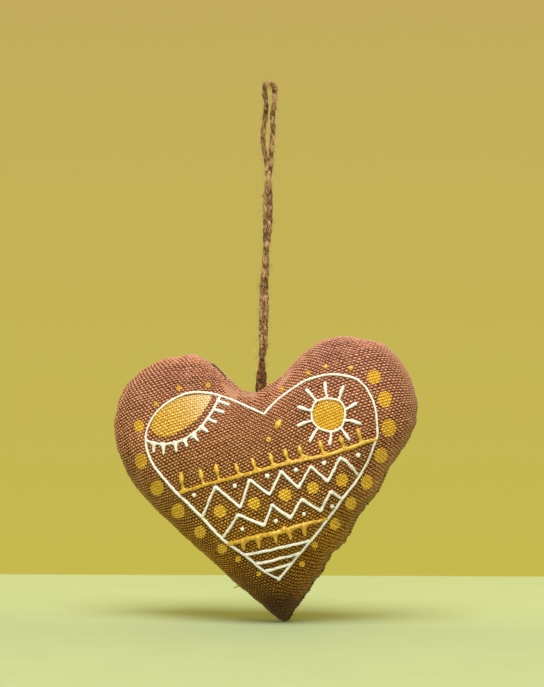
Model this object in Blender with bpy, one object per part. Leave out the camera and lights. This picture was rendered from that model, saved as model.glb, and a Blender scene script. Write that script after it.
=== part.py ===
"""Fabric heart ornament: a stuffed cloth heart hung by a loop of jute twine.

Units are metres, +Z is up, and +X is to the right of someone who looks along +Y
at the painted front. The origin is where a hook or a twig carries the loop, at
the inner side of its top. The heart hangs from the two ends of the twine.
"""

from math import exp, pi, sin

import bmesh
import bpy
import numpy as np
from mathutils import Vector
from mathutils.geometry import interpolate_bezier

# Sizes of the stuffed heart
HEART_WIDTH = 0.1064
HEART_HEIGHT = 0.1012
HEART_THICKNESS = 0.0420

# How full the stuffing makes the edge, from 0.5 for a lens to 0.3 for a tight pad
EDGE_FULLNESS = 0.44

# The cloth rolls up over the seam in front of and behind the twine
FRONT_ROLL_HEIGHT = 0.0061
BACK_ROLL_HEIGHT = 0.0047
ROLL_REACH = 0.0085
ROLL_DEPTH = 0.0085

# Size of the twine, and how far its ends stay above the seam they go into
TWINE_DIAMETER = 0.0018
TWINE_SEAM_GAP = 0.0011

# The twine's route in millimetres: up one leg, over the top and down the other.
# The legs wind round each other, and part at the top to go round what they hang on.
TWINE_ROUTE_MM = (
    (-1.9, 0.0, -110.3), (-1.8, -0.1, -105.3), (-1.9, -0.7, -100.4), (-2.4, -1.1, -95.1),
    (-3.0, -0.9, -89.8), (-3.3, -0.1, -83.4), (-2.8, 0.8, -75.3), (-2.3, 1.0, -67.5),
    (-1.4, 1.1, -60.4), (-0.2, 0.9, -53.7), (0.5, 0.0, -46.7), (0.4, -0.7, -39.6),
    (0.1, -1.1, -33.2), (-0.9, -1.1, -27.6), (-1.9, -1.1, -21.9), (-2.2, -1.6, -14.8),
    (-1.8, -3.0, -8.5), (-0.8, -3.9, -3.2), (-0.5, -2.8, -0.3), (0.0, 0.0, 0.9),
    (0.5, 2.8, -0.3), (0.9, 3.9, -3.2), (1.5, 3.0, -8.5), (1.3, 1.6, -14.8),
    (0.5, 1.1, -21.9), (0.2, 1.1, -27.6), (-0.5, 1.1, -33.2), (-1.4, 0.7, -39.6),
    (-1.8, 0.0, -46.7), (-1.6, -0.9, -53.7), (-1.4, -1.1, -60.4), (-1.2, -1.0, -67.5),
    (-1.1, -0.8, -75.3), (-1.0, 0.1, -83.4), (-1.5, 0.9, -89.8), (-2.6, 1.1, -95.1),
    (-3.8, 0.7, -100.4), (-4.4, 0.1, -105.3), (-4.7, 0.0, -110.3),
)
TWINE_STEPS = 2

# The seam, which is the heart's outline, as shares of half the width and half the
# height from the middle of its box. It runs clockwise from the bottom of the cleft.
CLEFT = (-0.032, 0.514)
RIGHT_LOBE = (
    (0.030, 0.536), (0.098, 0.648), (0.178, 0.778), (0.275, 0.884), (0.390, 0.962),
    (0.546, 0.999), (0.751, 0.943), (0.901, 0.804), (0.980, 0.626), (0.997, 0.452), (0.941, 0.277),
)
HAND_SEWN_FLANK = (
    (0.817, 0.075), (0.778, -0.075), (0.684, -0.185), (0.604, -0.330), (0.534, -0.472),
    (0.440, -0.540), (0.362, -0.690), (0.292, -0.788), (0.195, -0.931),
)
TIP = ((0.118, -0.998), (0.033, -0.945))
LEFT_FLANK = ((-0.153, -0.781), (-0.403, -0.536), (-0.694, -0.256), (-0.885, -0.020))
LEFT_LOBE = (
    (-0.987, 0.235), (-0.997, 0.431), (-0.918, 0.656), (-0.733, 0.801), (-0.507, 0.869),
    (-0.358, 0.797), (-0.240, 0.668), (-0.150, 0.564), (-0.090, 0.524),
)
OUTLINE_STEPS = 8

# The rings of faces spread from a round core to the seam
CORE_RADIUS = 0.0360
CORE_RISE = 0.0050
CORE_FADE = 1.5
COLUMNS = 120
RINGS = 12

# Colours of the plain materials, as linear values, and their roughness
CLOTH_COLOUR = (0.270, 0.120, 0.055)
TWINE_COLOUR = (0.300, 0.170, 0.070)
MATT = 0.95

MILLIMETRE = 0.001


def clear_scene() -> None:
    """Remove every object of the scene."""
    for item in list(bpy.data.objects):
        bpy.data.objects.remove(item, do_unlink=True)


def finish_material(name: str, colour: tuple, roughness: float) -> bpy.types.Material:
    """Make a plain material of one colour and roughness."""
    opaque = 1.0
    material = bpy.data.materials.new(name)
    material.use_nodes = True
    shader = material.node_tree.nodes["Principled BSDF"]
    shader.inputs["Base Color"].default_value = (*colour, opaque)
    shader.inputs["Roughness"].default_value = roughness
    shader.inputs["Metallic"].default_value = 0.0
    return material


def smooth_line(points: list, steps: int, closed: bool) -> list:
    """Run a smooth line through the points, with so many steps between two of them."""
    count = len(points)
    spans = count if closed else count - 1
    line = []
    for i in range(spans):
        before = points[i - 1] if closed else points[max(i - 1, 0)]
        start = points[i]
        end = points[(i + 1) % count]
        after = points[(i + 2) % count] if closed else points[min(i + 2, count - 1)]
        reach = (end - start).length / 3.0
        handle_out = start + (end - before).normalized() * reach
        handle_in = end - (after - start).normalized() * reach
        line += interpolate_bezier(start, handle_out, handle_in, end, steps + 1)[:-1]
    if not closed:
        line.append(points[-1])
    return line


def even_line(line: list, count: int) -> np.ndarray:
    """Spread so many points evenly along a closed line, from its first point."""
    ring = np.array([*line, line[0]])
    lengths = np.linalg.norm(np.diff(ring, axis=0), axis=1)
    travelled = np.concatenate([[0.0], np.cumsum(lengths)])
    stops = np.linspace(0.0, travelled[-1], count, endpoint=False)
    return np.stack([np.interp(stops, travelled, ring[:, k]) for k in range(2)], axis=1)


def twine_route() -> list:
    """Give the twine's route points in metres."""
    return [Vector(point) * MILLIMETRE for point in TWINE_ROUTE_MM]


def seam_outline() -> np.ndarray:
    """Give the seam in X and Z, with the cleft just under the twine's ends."""
    shares = (CLEFT, *RIGHT_LOBE, *HAND_SEWN_FLANK, *TIP, *LEFT_FLANK, *LEFT_LOBE)
    half_size = Vector((HEART_WIDTH / 2.0, HEART_HEIGHT / 2.0))
    anchors = [Vector((x * half_size.x, z * half_size.y)) for x, z in shares]
    seam = even_line(smooth_line(anchors, OUTLINE_STEPS, closed=True), COLUMNS)
    seam *= (HEART_WIDTH, HEART_HEIGHT) / np.ptp(seam, axis=0)
    route = twine_route()
    twine_end = (route[0] + route[-1]) / 2.0
    return seam - seam[0] + (twine_end.x, twine_end.z - TWINE_SEAM_GAP)


def membrane_heights(points: np.ndarray, faces: list, held: int) -> np.ndarray:
    """Blow up a membrane over flat triangles, with its last points held down.

    The height follows the local width, as in a stuffed cloth form: it is large
    in the middle and the lobes, and small at the tip.
    """
    count = len(points)
    stiffness = np.zeros((count, count))
    load = np.zeros(count)
    for face in faces:
        for i in range(3):
            here, left, right = face[i], face[i - 2], face[i - 1]
            to_left = points[left] - points[here]
            to_right = points[right] - points[here]
            doubled_area = to_left[0] * to_right[1] - to_left[1] * to_right[0]
            weight = np.dot(to_left, to_right) / abs(doubled_area) / 2.0
            stiffness[left, right] -= weight
            stiffness[right, left] -= weight
            stiffness[left, left] += weight
            stiffness[right, right] += weight
            load[here] += abs(doubled_area) / 6.0
    free = count - held
    heights = np.zeros(count)
    heights[:free] = np.linalg.solve(stiffness[:free, :free], load[:free])
    return heights


def cover_rings(seam: np.ndarray) -> np.ndarray:
    """Lay rings of points from the middle of the heart out to the seam."""
    middle = (seam.max(axis=0) + seam.min(axis=0)) / 2.0 + (0.0, CORE_RISE)
    to_seam = seam - middle
    to_core = to_seam / np.linalg.norm(to_seam, axis=1)[:, None] * CORE_RADIUS
    rings = []
    for ring in range(1, RINGS + 1):
        share = sin(pi / 2.0 * ring / RINGS)
        seam_part = share**CORE_FADE
        rings.append(middle + share * (to_core * (1.0 - seam_part) + to_seam * seam_part))
    return np.concatenate([[middle], *rings])


def cover_faces() -> list:
    """Give the triangles of one side of the cover, as numbers of its points."""
    faces = [(0, 1 + k, 1 + (k + 1) % COLUMNS) for k in range(COLUMNS)]
    for ring in range(RINGS - 1):
        inner = 1 + ring * COLUMNS
        outer = inner + COLUMNS
        for k in range(COLUMNS):
            after = (k + 1) % COLUMNS
            faces.append((inner + k, outer + k, outer + after))
            faces.append((inner + k, outer + after, inner + after))
    return faces


def roll_over_seam(x: float, z: float, depth: float, cleft: np.ndarray) -> float:
    """Say what share of its roll the cloth stands up over the seam at the cleft."""
    distance = np.hypot(x - cleft[0], z - cleft[1])
    nearness = exp(-((distance / ROLL_REACH) ** 2) / 2.0)
    swell = min(depth / ROLL_DEPTH, 1.0)
    return nearness * swell**2 * (3.0 - 2.0 * swell)


def build_stuffed_heart() -> bpy.types.Object:
    """Model the stuffed heart as one closed body with the seam round its edge."""
    seam = seam_outline()
    flat = cover_rings(seam)
    faces = cover_faces()
    pressed = membrane_heights(flat, faces, held=COLUMNS)
    depths = HEART_THICKNESS / 2.0 * (pressed / pressed.max()) ** EDGE_FULLNESS

    body = bmesh.new()
    sides = {}
    for side, roll_height in ((-1.0, FRONT_ROLL_HEIGHT), (1.0, BACK_ROLL_HEIGHT)):
        for number, (x, z) in enumerate(flat):
            on_seam = number >= len(flat) - COLUMNS
            if on_seam and side > 0.0:
                sides[side, number] = sides[-side, number]
                continue
            depth = depths[number]
            rise = roll_height * roll_over_seam(x, z, depth, seam[0])
            sides[side, number] = body.verts.new((x, side * depth, z + rise))
        for face in faces:
            body.faces.new([sides[side, number] for number in face])
    bmesh.ops.recalc_face_normals(body, faces=body.faces)
    mesh = bpy.data.meshes.new("stuffed_heart")
    body.to_mesh(mesh)
    body.free()
    mesh.shade_smooth()
    heart = bpy.data.objects.new("stuffed_heart", mesh)
    bpy.context.collection.objects.link(heart)
    mesh.materials.append(finish_material("brown_cloth", CLOTH_COLOUR, MATT))
    return heart


def build_hanging_loop() -> bpy.types.Object:
    """Model the loop of twine as one tube along its route."""
    line = smooth_line(twine_route(), TWINE_STEPS, closed=False)
    curve = bpy.data.curves.new("hanging_loop", "CURVE")
    curve.dimensions = "3D"
    curve.bevel_depth = TWINE_DIAMETER / 2.0
    curve.bevel_resolution = 2
    curve.use_fill_caps = True
    spline = curve.splines.new("POLY")
    spline.points.add(len(line) - 1)
    for point, place in zip(spline.points, line):
        point.co = (*place, 1.0)
    loop = bpy.data.objects.new("hanging_loop", curve)
    bpy.context.collection.objects.link(loop)
    curve.materials.append(finish_material("jute_twine", TWINE_COLOUR, MATT))
    return loop


def main() -> None:
    """Model the ornament."""
    clear_scene()
    build_stuffed_heart()
    build_hanging_loop()


main()
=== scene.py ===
"""Looks of a stuffed cloth heart that hangs on a loop of jute twine.

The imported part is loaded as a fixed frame. The heart's two woven panels, the paint on them, the hand stitches
and the twine are built round it, each as its own piece. Every length is in metres.
"""

import logging
import math
from collections.abc import Sequence
from dataclasses import dataclass, field
from enum import Enum

import bmesh
import bpy
import numpy as np
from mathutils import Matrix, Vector
from mathutils.bvhtree import BVHTree
from mathutils.geometry import delaunay_2d_cdt
from mathutils.kdtree import KDTree


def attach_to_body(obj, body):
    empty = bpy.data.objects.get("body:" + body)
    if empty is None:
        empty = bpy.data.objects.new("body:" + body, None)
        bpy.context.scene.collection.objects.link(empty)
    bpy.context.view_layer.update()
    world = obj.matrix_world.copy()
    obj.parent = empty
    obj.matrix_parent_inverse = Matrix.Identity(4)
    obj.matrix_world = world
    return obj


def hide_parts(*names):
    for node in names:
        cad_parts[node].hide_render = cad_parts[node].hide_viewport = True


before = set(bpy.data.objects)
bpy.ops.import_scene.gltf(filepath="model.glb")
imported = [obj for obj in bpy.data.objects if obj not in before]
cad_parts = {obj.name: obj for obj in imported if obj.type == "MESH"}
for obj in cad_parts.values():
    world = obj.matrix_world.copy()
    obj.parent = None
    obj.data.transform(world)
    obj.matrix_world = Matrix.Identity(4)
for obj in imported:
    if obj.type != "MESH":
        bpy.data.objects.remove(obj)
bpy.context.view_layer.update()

LOG = logging.getLogger("heart_ornament")
ROOT_BODY = "root"
HEART_NODE = "stuffed_heart"
LOOP_NODE = "hanging_loop"
MILLIMETRE = 0.001
FULL_TURN = 2.0 * math.pi

Colour = tuple[float, float, float]
Pixel = tuple[float, float]


# Small helpers


def opaque(colour: Colour) -> tuple[float, float, float, float]:
    """Gives a colour with its alpha."""
    return (*colour, 1.0)


def unit(vectors: np.ndarray) -> np.ndarray:
    """Scales each row of vectors to length one."""
    return vectors / np.maximum(np.linalg.norm(vectors, axis=-1, keepdims=True), 1e-12)


def ease(values: np.ndarray) -> np.ndarray:
    """Smooth step from nought to one."""
    held = np.clip(values, 0.0, 1.0)
    return held * held * (3.0 - 2.0 * held)


@dataclass(frozen=True)
class Unevenness:
    """Smooth unevenness from a few plane waves, the same on every run.

    Attributes:
        seed: Seed of the waves' directions, lengths and phases.
        shortest: Shortest wave, in the unit of the places it is asked for.
        longest: Longest wave.
        waves: Number of waves.
    """

    seed: int
    shortest: float
    longest: float
    waves: int = 14

    def at(self, first: np.ndarray, second: np.ndarray | float = 0.0) -> np.ndarray:
        """Reads the unevenness at places of a plane.

        Args:
            first: First coordinate of each place.
            second: Second coordinate of each place.

        Returns:
            A value about nought for each place, mostly within one either way.
        """
        draw = np.random.default_rng(self.seed)
        headings = draw.uniform(0.0, FULL_TURN, self.waves)
        lengths = self.shortest * (self.longest / self.shortest) ** draw.random(self.waves)
        phases = draw.uniform(0.0, FULL_TURN, self.waves)
        total = np.zeros(np.broadcast(first, second).shape)
        for heading, length, phase in zip(headings, lengths, phases):
            along = first * math.cos(heading) + second * math.sin(heading)
            total += np.sin(FULL_TURN * along / length + phase)
        return total / math.sqrt(2.0 * self.waves)


def even_steps(points: np.ndarray, step: float, closed: bool = False) -> np.ndarray:
    """Places points at even steps on a line of straight pieces.

    Args:
        points: Corners of the line, one row each.
        step: Wanted distance between neighbours.
        closed: Whether the line returns to its start.

    Returns:
        The even points, the last one on the line's end unless it is closed.
    """
    line = np.vstack([points, points[:1]]) if closed else points
    gaps = np.linalg.norm(np.diff(line, axis=0), axis=1)
    travel = np.concatenate([[0.0], np.cumsum(gaps)])
    count = max(2, int(round(travel[-1] / step)))
    wanted = np.linspace(0.0, travel[-1], count + 1)
    if closed:
        wanted = wanted[:-1]
    return np.stack([np.interp(wanted, travel, line[:, axis]) for axis in range(line.shape[1])], axis=1)


def rounded_line(points: np.ndarray, closed: bool = False, pieces: int = 8) -> np.ndarray:
    """Runs a smooth curve through points.

    Args:
        points: Points that the curve goes through.
        closed: Whether the curve returns to its start.
        pieces: Number of steps between two points.

    Returns:
        Points of the curve in order.
    """
    if closed:
        padded = np.vstack([points[-1:], points, points[:2]])
    else:
        padded = np.vstack([2 * points[0] - points[1], points, 2 * points[-1] - points[-2]])
    curve = []
    for first, second, third, fourth in zip(padded, padded[1:], padded[2:], padded[3:]):
        for part in np.arange(pieces) / pieces:
            curve.append(
                0.5
                * (
                    2.0 * second
                    + (third - first) * part
                    + (2.0 * first - 5.0 * second + 4.0 * third - fourth) * part**2
                    + (3.0 * second - first - 3.0 * third + fourth) * part**3
                )
            )
    if not closed:
        curve.append(points[-1])
    return np.array(curve)


def softened(values: np.ndarray, rounds: int, closed: bool = False) -> np.ndarray:
    """Evens out rows of values along a line.

    Args:
        values: One row for each point of the line.
        rounds: How many times neighbours are averaged.
        closed: Whether the line returns to its start.

    Returns:
        The softened rows, with both ends kept where the line is open.
    """
    result = values.copy()
    for _ in range(rounds):
        before = np.roll(result, 1, axis=0)
        after = np.roll(result, -1, axis=0)
        mixed = 0.25 * before + 0.5 * result + 0.25 * after
        if not closed:
            mixed[0] = result[0]
            mixed[-1] = result[-1]
        result = mixed
    return result


def make_piece(name: str, points: np.ndarray, faces: Sequence[Sequence[int]], material: bpy.types.Material,
               smooth: bool = True) -> bpy.types.Object:
    """Makes an object of points and faces, with its place in its mesh.

    Args:
        name: Name of the piece.
        points: One row for each vertex.
        faces: Vertex numbers of each face, anticlockwise from outside.
        material: Finish of the piece.
        smooth: Whether its faces are shaded smooth.

    Returns:
        The new object, linked to the scene.
    """
    mesh = bpy.data.meshes.new(name)
    mesh.from_pydata(points.tolist(), [], [list(map(int, face)) for face in faces])
    mesh.polygons.foreach_set("use_smooth", [smooth] * len(mesh.polygons))
    mesh.materials.append(material)
    mesh.update()
    piece = bpy.data.objects.new(name, mesh)
    bpy.context.collection.objects.link(piece)
    return piece


def evaluated_mesh(piece: bpy.types.Object) -> bpy.types.Mesh:
    """Gives the mesh that an object has with its modifiers."""
    graph = bpy.context.evaluated_depsgraph_get()
    return bpy.data.meshes.new_from_object(piece.evaluated_get(graph))


def mesh_points(mesh: bpy.types.Mesh) -> np.ndarray:
    """Reads a mesh's vertices as rows."""
    flat = np.zeros(len(mesh.vertices) * 3)
    mesh.vertices.foreach_get("co", flat)
    return flat.reshape(-1, 3)


def triangle_count(piece: bpy.types.Object) -> int:
    """Counts the triangles of a finished piece."""
    return sum(len(face.vertices) - 2 for face in piece.data.polygons)


def report(piece: bpy.types.Object) -> None:
    """Logs a finished piece."""
    LOG.info("%s: %d triangles", piece.name, triangle_count(piece))


def attach(piece: bpy.types.Object, node: str) -> None:
    """Lets a piece ride on the body and stand for a solid.

    Args:
        piece: The finished piece.
        node: Solid that it stands for.
    """
    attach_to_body(piece, ROOT_BODY)
    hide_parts(node)
    report(piece)


# Camera


@dataclass(frozen=True)
class PhotoView:
    """The camera, and how a pixel of its picture meets the model.

    Attributes:
        width: Picture width in pixels.
        height: Picture height in pixels.
        pixel: Size of a pixel at the object's middle plane.
        aim: Point in the middle of the picture.
        elevation: Height of the camera above the horizon, as an angle.
        azimuth: How far it stands round to the right of the heart's front, as an angle.
        distance: Distance from the camera to the aim.
        sensor: Sensor size on the picture's long side, in millimetres.
    """

    width: int = 544
    height: int = 687
    pixel: float = 0.352 * MILLIMETRE
    aim: tuple[float, float, float] = (0.9 * MILLIMETRE, 0.0, -90.5 * MILLIMETRE)
    elevation: float = 0.0
    azimuth: float = math.radians(15.0)
    distance: float = 1.0
    sensor: float = 36.0

    def axes(self) -> tuple[np.ndarray, np.ndarray, np.ndarray]:
        """Gives the camera's right, up and forward directions."""
        right = np.array([math.cos(self.azimuth), math.sin(self.azimuth), 0.0])
        level = np.array([-math.sin(self.azimuth), math.cos(self.azimuth), 0.0])
        forward = level * math.cos(self.elevation) - np.array([0.0, 0.0, math.sin(self.elevation)])
        return right, np.cross(right, forward), forward

    def eye(self) -> np.ndarray:
        """Gives the camera's place."""
        return np.array(self.aim) - self.axes()[2] * self.distance

    def rays(self, pixels: np.ndarray) -> np.ndarray:
        """Gives the direction from the eye through each pixel.

        Args:
            pixels: Rows of a pixel's column and row.

        Returns:
            A unit direction for each pixel.
        """
        right, up, forward = self.axes()
        across = (pixels[:, :1] - self.width / 2.0) * self.pixel
        rise = (self.height / 2.0 - pixels[:, 1:2]) * self.pixel
        return unit(forward * self.distance + right * across + up * rise)

    def pixels_of(self, points: np.ndarray) -> np.ndarray:
        """Gives the pixel at which each point shows."""
        right, up, forward = self.axes()
        offset = points - self.eye()
        scale = self.distance / (offset @ forward) / self.pixel
        column = self.width / 2.0 + (offset @ right) * scale
        row = self.height / 2.0 - (offset @ up) * scale
        return np.stack([column, row], axis=1)

    def place(self) -> bpy.types.Object:
        """Makes the camera and gives it to the scene."""
        data = bpy.data.cameras.new("camera")
        data.sensor_width = self.sensor
        data.lens = self.sensor * self.distance / (self.height * self.pixel)
        data.clip_start = 0.01
        data.clip_end = 20.0
        camera = bpy.data.objects.new("camera", data)
        camera.location = self.eye()
        camera.rotation_euler = (math.pi / 2.0 - self.elevation, 0.0, self.azimuth)
        bpy.context.collection.objects.link(camera)
        bpy.context.scene.camera = camera
        return camera


# Finishes


class NodeTree:
    """A node tree, built up in short steps."""

    def __init__(self, tree: bpy.types.NodeTree) -> None:
        """Takes over a tree.

        Args:
            tree: Tree that the nodes go into.
        """
        self.tree = tree

    def feed(self, socket: bpy.types.NodeSocket, value: object) -> None:
        """Links or sets one input."""
        if isinstance(value, bpy.types.NodeSocket):
            self.tree.links.new(value, socket)
        else:
            socket.default_value = value

    def node(self, kind: str, inputs: dict[str | int, object] | None = None,
             **settings: object) -> bpy.types.Node:
        """Adds a node.

        Args:
            kind: Type of the node.
            inputs: Numbers or sockets, by the name or number of the input.
            settings: Its properties, which are set before its inputs.

        Returns:
            The node.
        """
        made = self.tree.nodes.new(kind)
        for name, value in settings.items():
            setattr(made, name, value)
        for key, value in (inputs or {}).items():
            self.feed(made.inputs[key], value)
        return made


class Recipe(NodeTree):
    """One material's nodes, round a Principled shader."""

    def __init__(self, name: str) -> None:
        """Starts a material.

        Args:
            name: Name of the material.
        """
        self.material = bpy.data.materials.new(name)
        self.material.use_nodes = True
        super().__init__(self.material.node_tree)
        self.shader = self.tree.nodes["Principled BSDF"]

    def maths(self, operation: str, *values: object) -> bpy.types.NodeSocket:
        """Works out one sum from numbers or sockets."""
        return self.node("ShaderNodeMath", dict(enumerate(values)), operation=operation).outputs[0]

    def spread(self, value: object, low: float, high: float, first: float = 0.0,
               last: float = 1.0) -> bpy.types.NodeSocket:
        """Maps a range smoothly onto another.

        Args:
            value: Socket to map.
            low: Value that becomes first.
            high: Value that becomes last.
            first: Result at low and below.
            last: Result at high and above.

        Returns:
            The mapped value's socket.
        """
        numbers = dict(enumerate((value, low, high, first, last)))
        return self.node("ShaderNodeMapRange", numbers, interpolation_type="SMOOTHSTEP").outputs[0]

    def blend(self, factor: object, first: object, second: object, mode: str = "MIX") -> bpy.types.NodeSocket:
        """Mixes two colours.

        Args:
            factor: Share of the second colour, as a number or socket.
            first: First colour or socket.
            second: Second colour or socket.
            mode: Blend mode.

        Returns:
            The mixed colour's socket.
        """
        parts = {0: factor, 6: first, 7: second}
        return self.node("ShaderNodeMix", parts, data_type="RGBA", blend_type=mode).outputs[2]

    def ramp(self, value: object, stops: Sequence[tuple[float, Colour]]) -> bpy.types.NodeSocket:
        """Turns a value into a colour.

        Args:
            value: Socket of the value, from nought to one.
            stops: Places and their colours, in order.

        Returns:
            The colour's socket.
        """
        made = self.node("ShaderNodeValToRGB", {0: value})
        elements = made.color_ramp.elements
        while len(elements) < len(stops):
            elements.new(1.0)
        for element, (place, colour) in zip(elements, stops):
            element.position = place
            element.color = opaque(colour)
        return made.outputs[0]

    def noise(self, place: object, scale: float, detail: float = 2.0,
              roughness: float = 0.55) -> bpy.types.NodeSocket:
        """Reads a noise texture.

        Args:
            place: Socket of the coordinates.
            scale: Size of the pattern.
            detail: Octaves.
            roughness: Share of the fine octaves.

        Returns:
            The noise value's socket.
        """
        numbers = {"Vector": place, "Scale": scale, "Detail": detail, "Roughness": roughness}
        return self.node("ShaderNodeTexNoise", numbers).outputs["Fac"]

    def stretched(self, place: object, scale: Sequence[float]) -> bpy.types.NodeSocket:
        """Scales coordinates by axis."""
        return self.node("ShaderNodeMapping", {"Vector": place, "Scale": scale}).outputs[0]

    def own_place(self) -> bpy.types.NodeSocket:
        """Gives Object coordinates."""
        return self.node("ShaderNodeTexCoord").outputs["Object"]

    def uv_map(self, name: str) -> bpy.types.NodeSocket:
        """Reads a UV map."""
        return self.node("ShaderNodeUVMap", uv_map=name).outputs[0]

    def attribute(self, name: str) -> bpy.types.NodeSocket:
        """Reads a number that each vertex carries."""
        return self.node("ShaderNodeAttribute", attribute_name=name).outputs["Fac"]

    def axes(self, vector: object) -> Sequence[bpy.types.NodeSocket]:
        """Takes a vector apart into its three numbers."""
        return self.node("ShaderNodeSeparateXYZ", {0: vector}).outputs

    def uneven_surface(self, height: object, distance: float, strength: float = 1.0) -> None:
        """Feeds a height to the shader's normal.

        Args:
            height: Socket of the height.
            distance: Height in metres that a value of one stands for.
            strength: Share of the effect.
        """
        bump = self.node("ShaderNodeBump", {"Height": height, "Distance": distance, "Strength": strength})
        self.feed(self.shader.inputs["Normal"], bump.outputs[0])

    def finished(self, inputs: dict[str, object]) -> bpy.types.Material:
        """Sets the shader's inputs and gives the material."""
        for name, value in inputs.items():
            self.feed(self.shader.inputs[name], value)
        return self.material


@dataclass(frozen=True)
class Weave:
    """Heights of a plain weave whose weft stands above its warp.

    Yarn numbers are coordinates here: warp yarn one lies at one, and its gap at a half.

    Attributes:
        weft_wave: How far the weft rises and dips.
        weft_body: Thickness of the weft.
        warp_wave: How far the warp rises and dips.
        warp_body: Thickness of the warp.
        flatness: How much of a yarn's roundness is left at its edge, from nought to one.
        crown: How narrow the weft's rounded top is. A half gives a round yarn.
        lean: How far a float slants with the yarn's twist, in warp yarns for each weft yarn.
    """

    weft_wave: float = 0.43
    weft_body: float = 1.05
    warp_wave: float = 0.28
    warp_body: float = 0.48
    flatness: float = 0.96
    crown: float = 0.95
    lean: float = 0.35

    def heights(self, warp: np.ndarray, weft: np.ndarray) -> np.ndarray:
        """Gives the upper surface at places in yarn numbers.

        Args:
            warp: Warp yarn number of each place.
            weft: Weft yarn number of each place.

        Returns:
            The height at each place, from about 0.1 in a pore to 1.5 on a float.
        """
        column = np.floor(warp + 0.5)
        row = np.floor(weft + 0.5)
        weft_round = (1.0 - self.flatness * (2.0 * (weft - row)) ** 2) ** self.crown
        warp_round = np.sqrt(1.0 - self.flatness * (2.0 * (warp - column)) ** 2)
        slanted = warp + self.lean * (weft - row)
        weft_top = self.weft_wave * np.cos(math.pi * (slanted + row)) + self.weft_body * weft_round
        warp_top = -self.warp_wave * np.cos(math.pi * (weft + column)) + self.warp_body * warp_round
        return np.maximum(weft_top, warp_top)

    def shaded_heights(self, recipe: Recipe, warp: object, weft: object) -> tuple[object, object]:
        """Builds the same surface from nodes.

        Args:
            recipe: Material that the nodes go into.
            warp: Socket of the warp yarn number.
            weft: Socket of the weft yarn number.

        Returns:
            The sockets of the height and of the weft's share, which is one where the weft is on top.
        """
        tops = []
        for along, across, wave, body, crown, lean in (
            (warp, weft, self.weft_wave, self.weft_body, self.crown, self.lean),
            (weft, warp, -self.warp_wave, self.warp_body, 0.5, 0.0),
        ):
            own = recipe.maths("FLOOR", recipe.maths("ADD", across, 0.5))
            along = recipe.maths("MULTIPLY_ADD", recipe.maths("SUBTRACT", across, own), lean, along)
            aside = recipe.maths("MULTIPLY", recipe.maths("SUBTRACT", across, own), 2.0)
            square = recipe.maths("MULTIPLY", aside, aside)
            fall = recipe.maths("MULTIPLY_ADD", square, -self.flatness, 1.0)
            round_part = recipe.maths("POWER", fall, crown)
            swing = recipe.maths("COSINE", recipe.maths("MULTIPLY", recipe.maths("ADD", along, own), math.pi))
            tops.append(recipe.maths("MULTIPLY_ADD", swing, wave, recipe.maths("MULTIPLY", round_part, body)))
        height = recipe.maths("MAXIMUM", tops[0], tops[1])
        return height, recipe.maths("GREATER_THAN", tops[0], tops[1])


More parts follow.
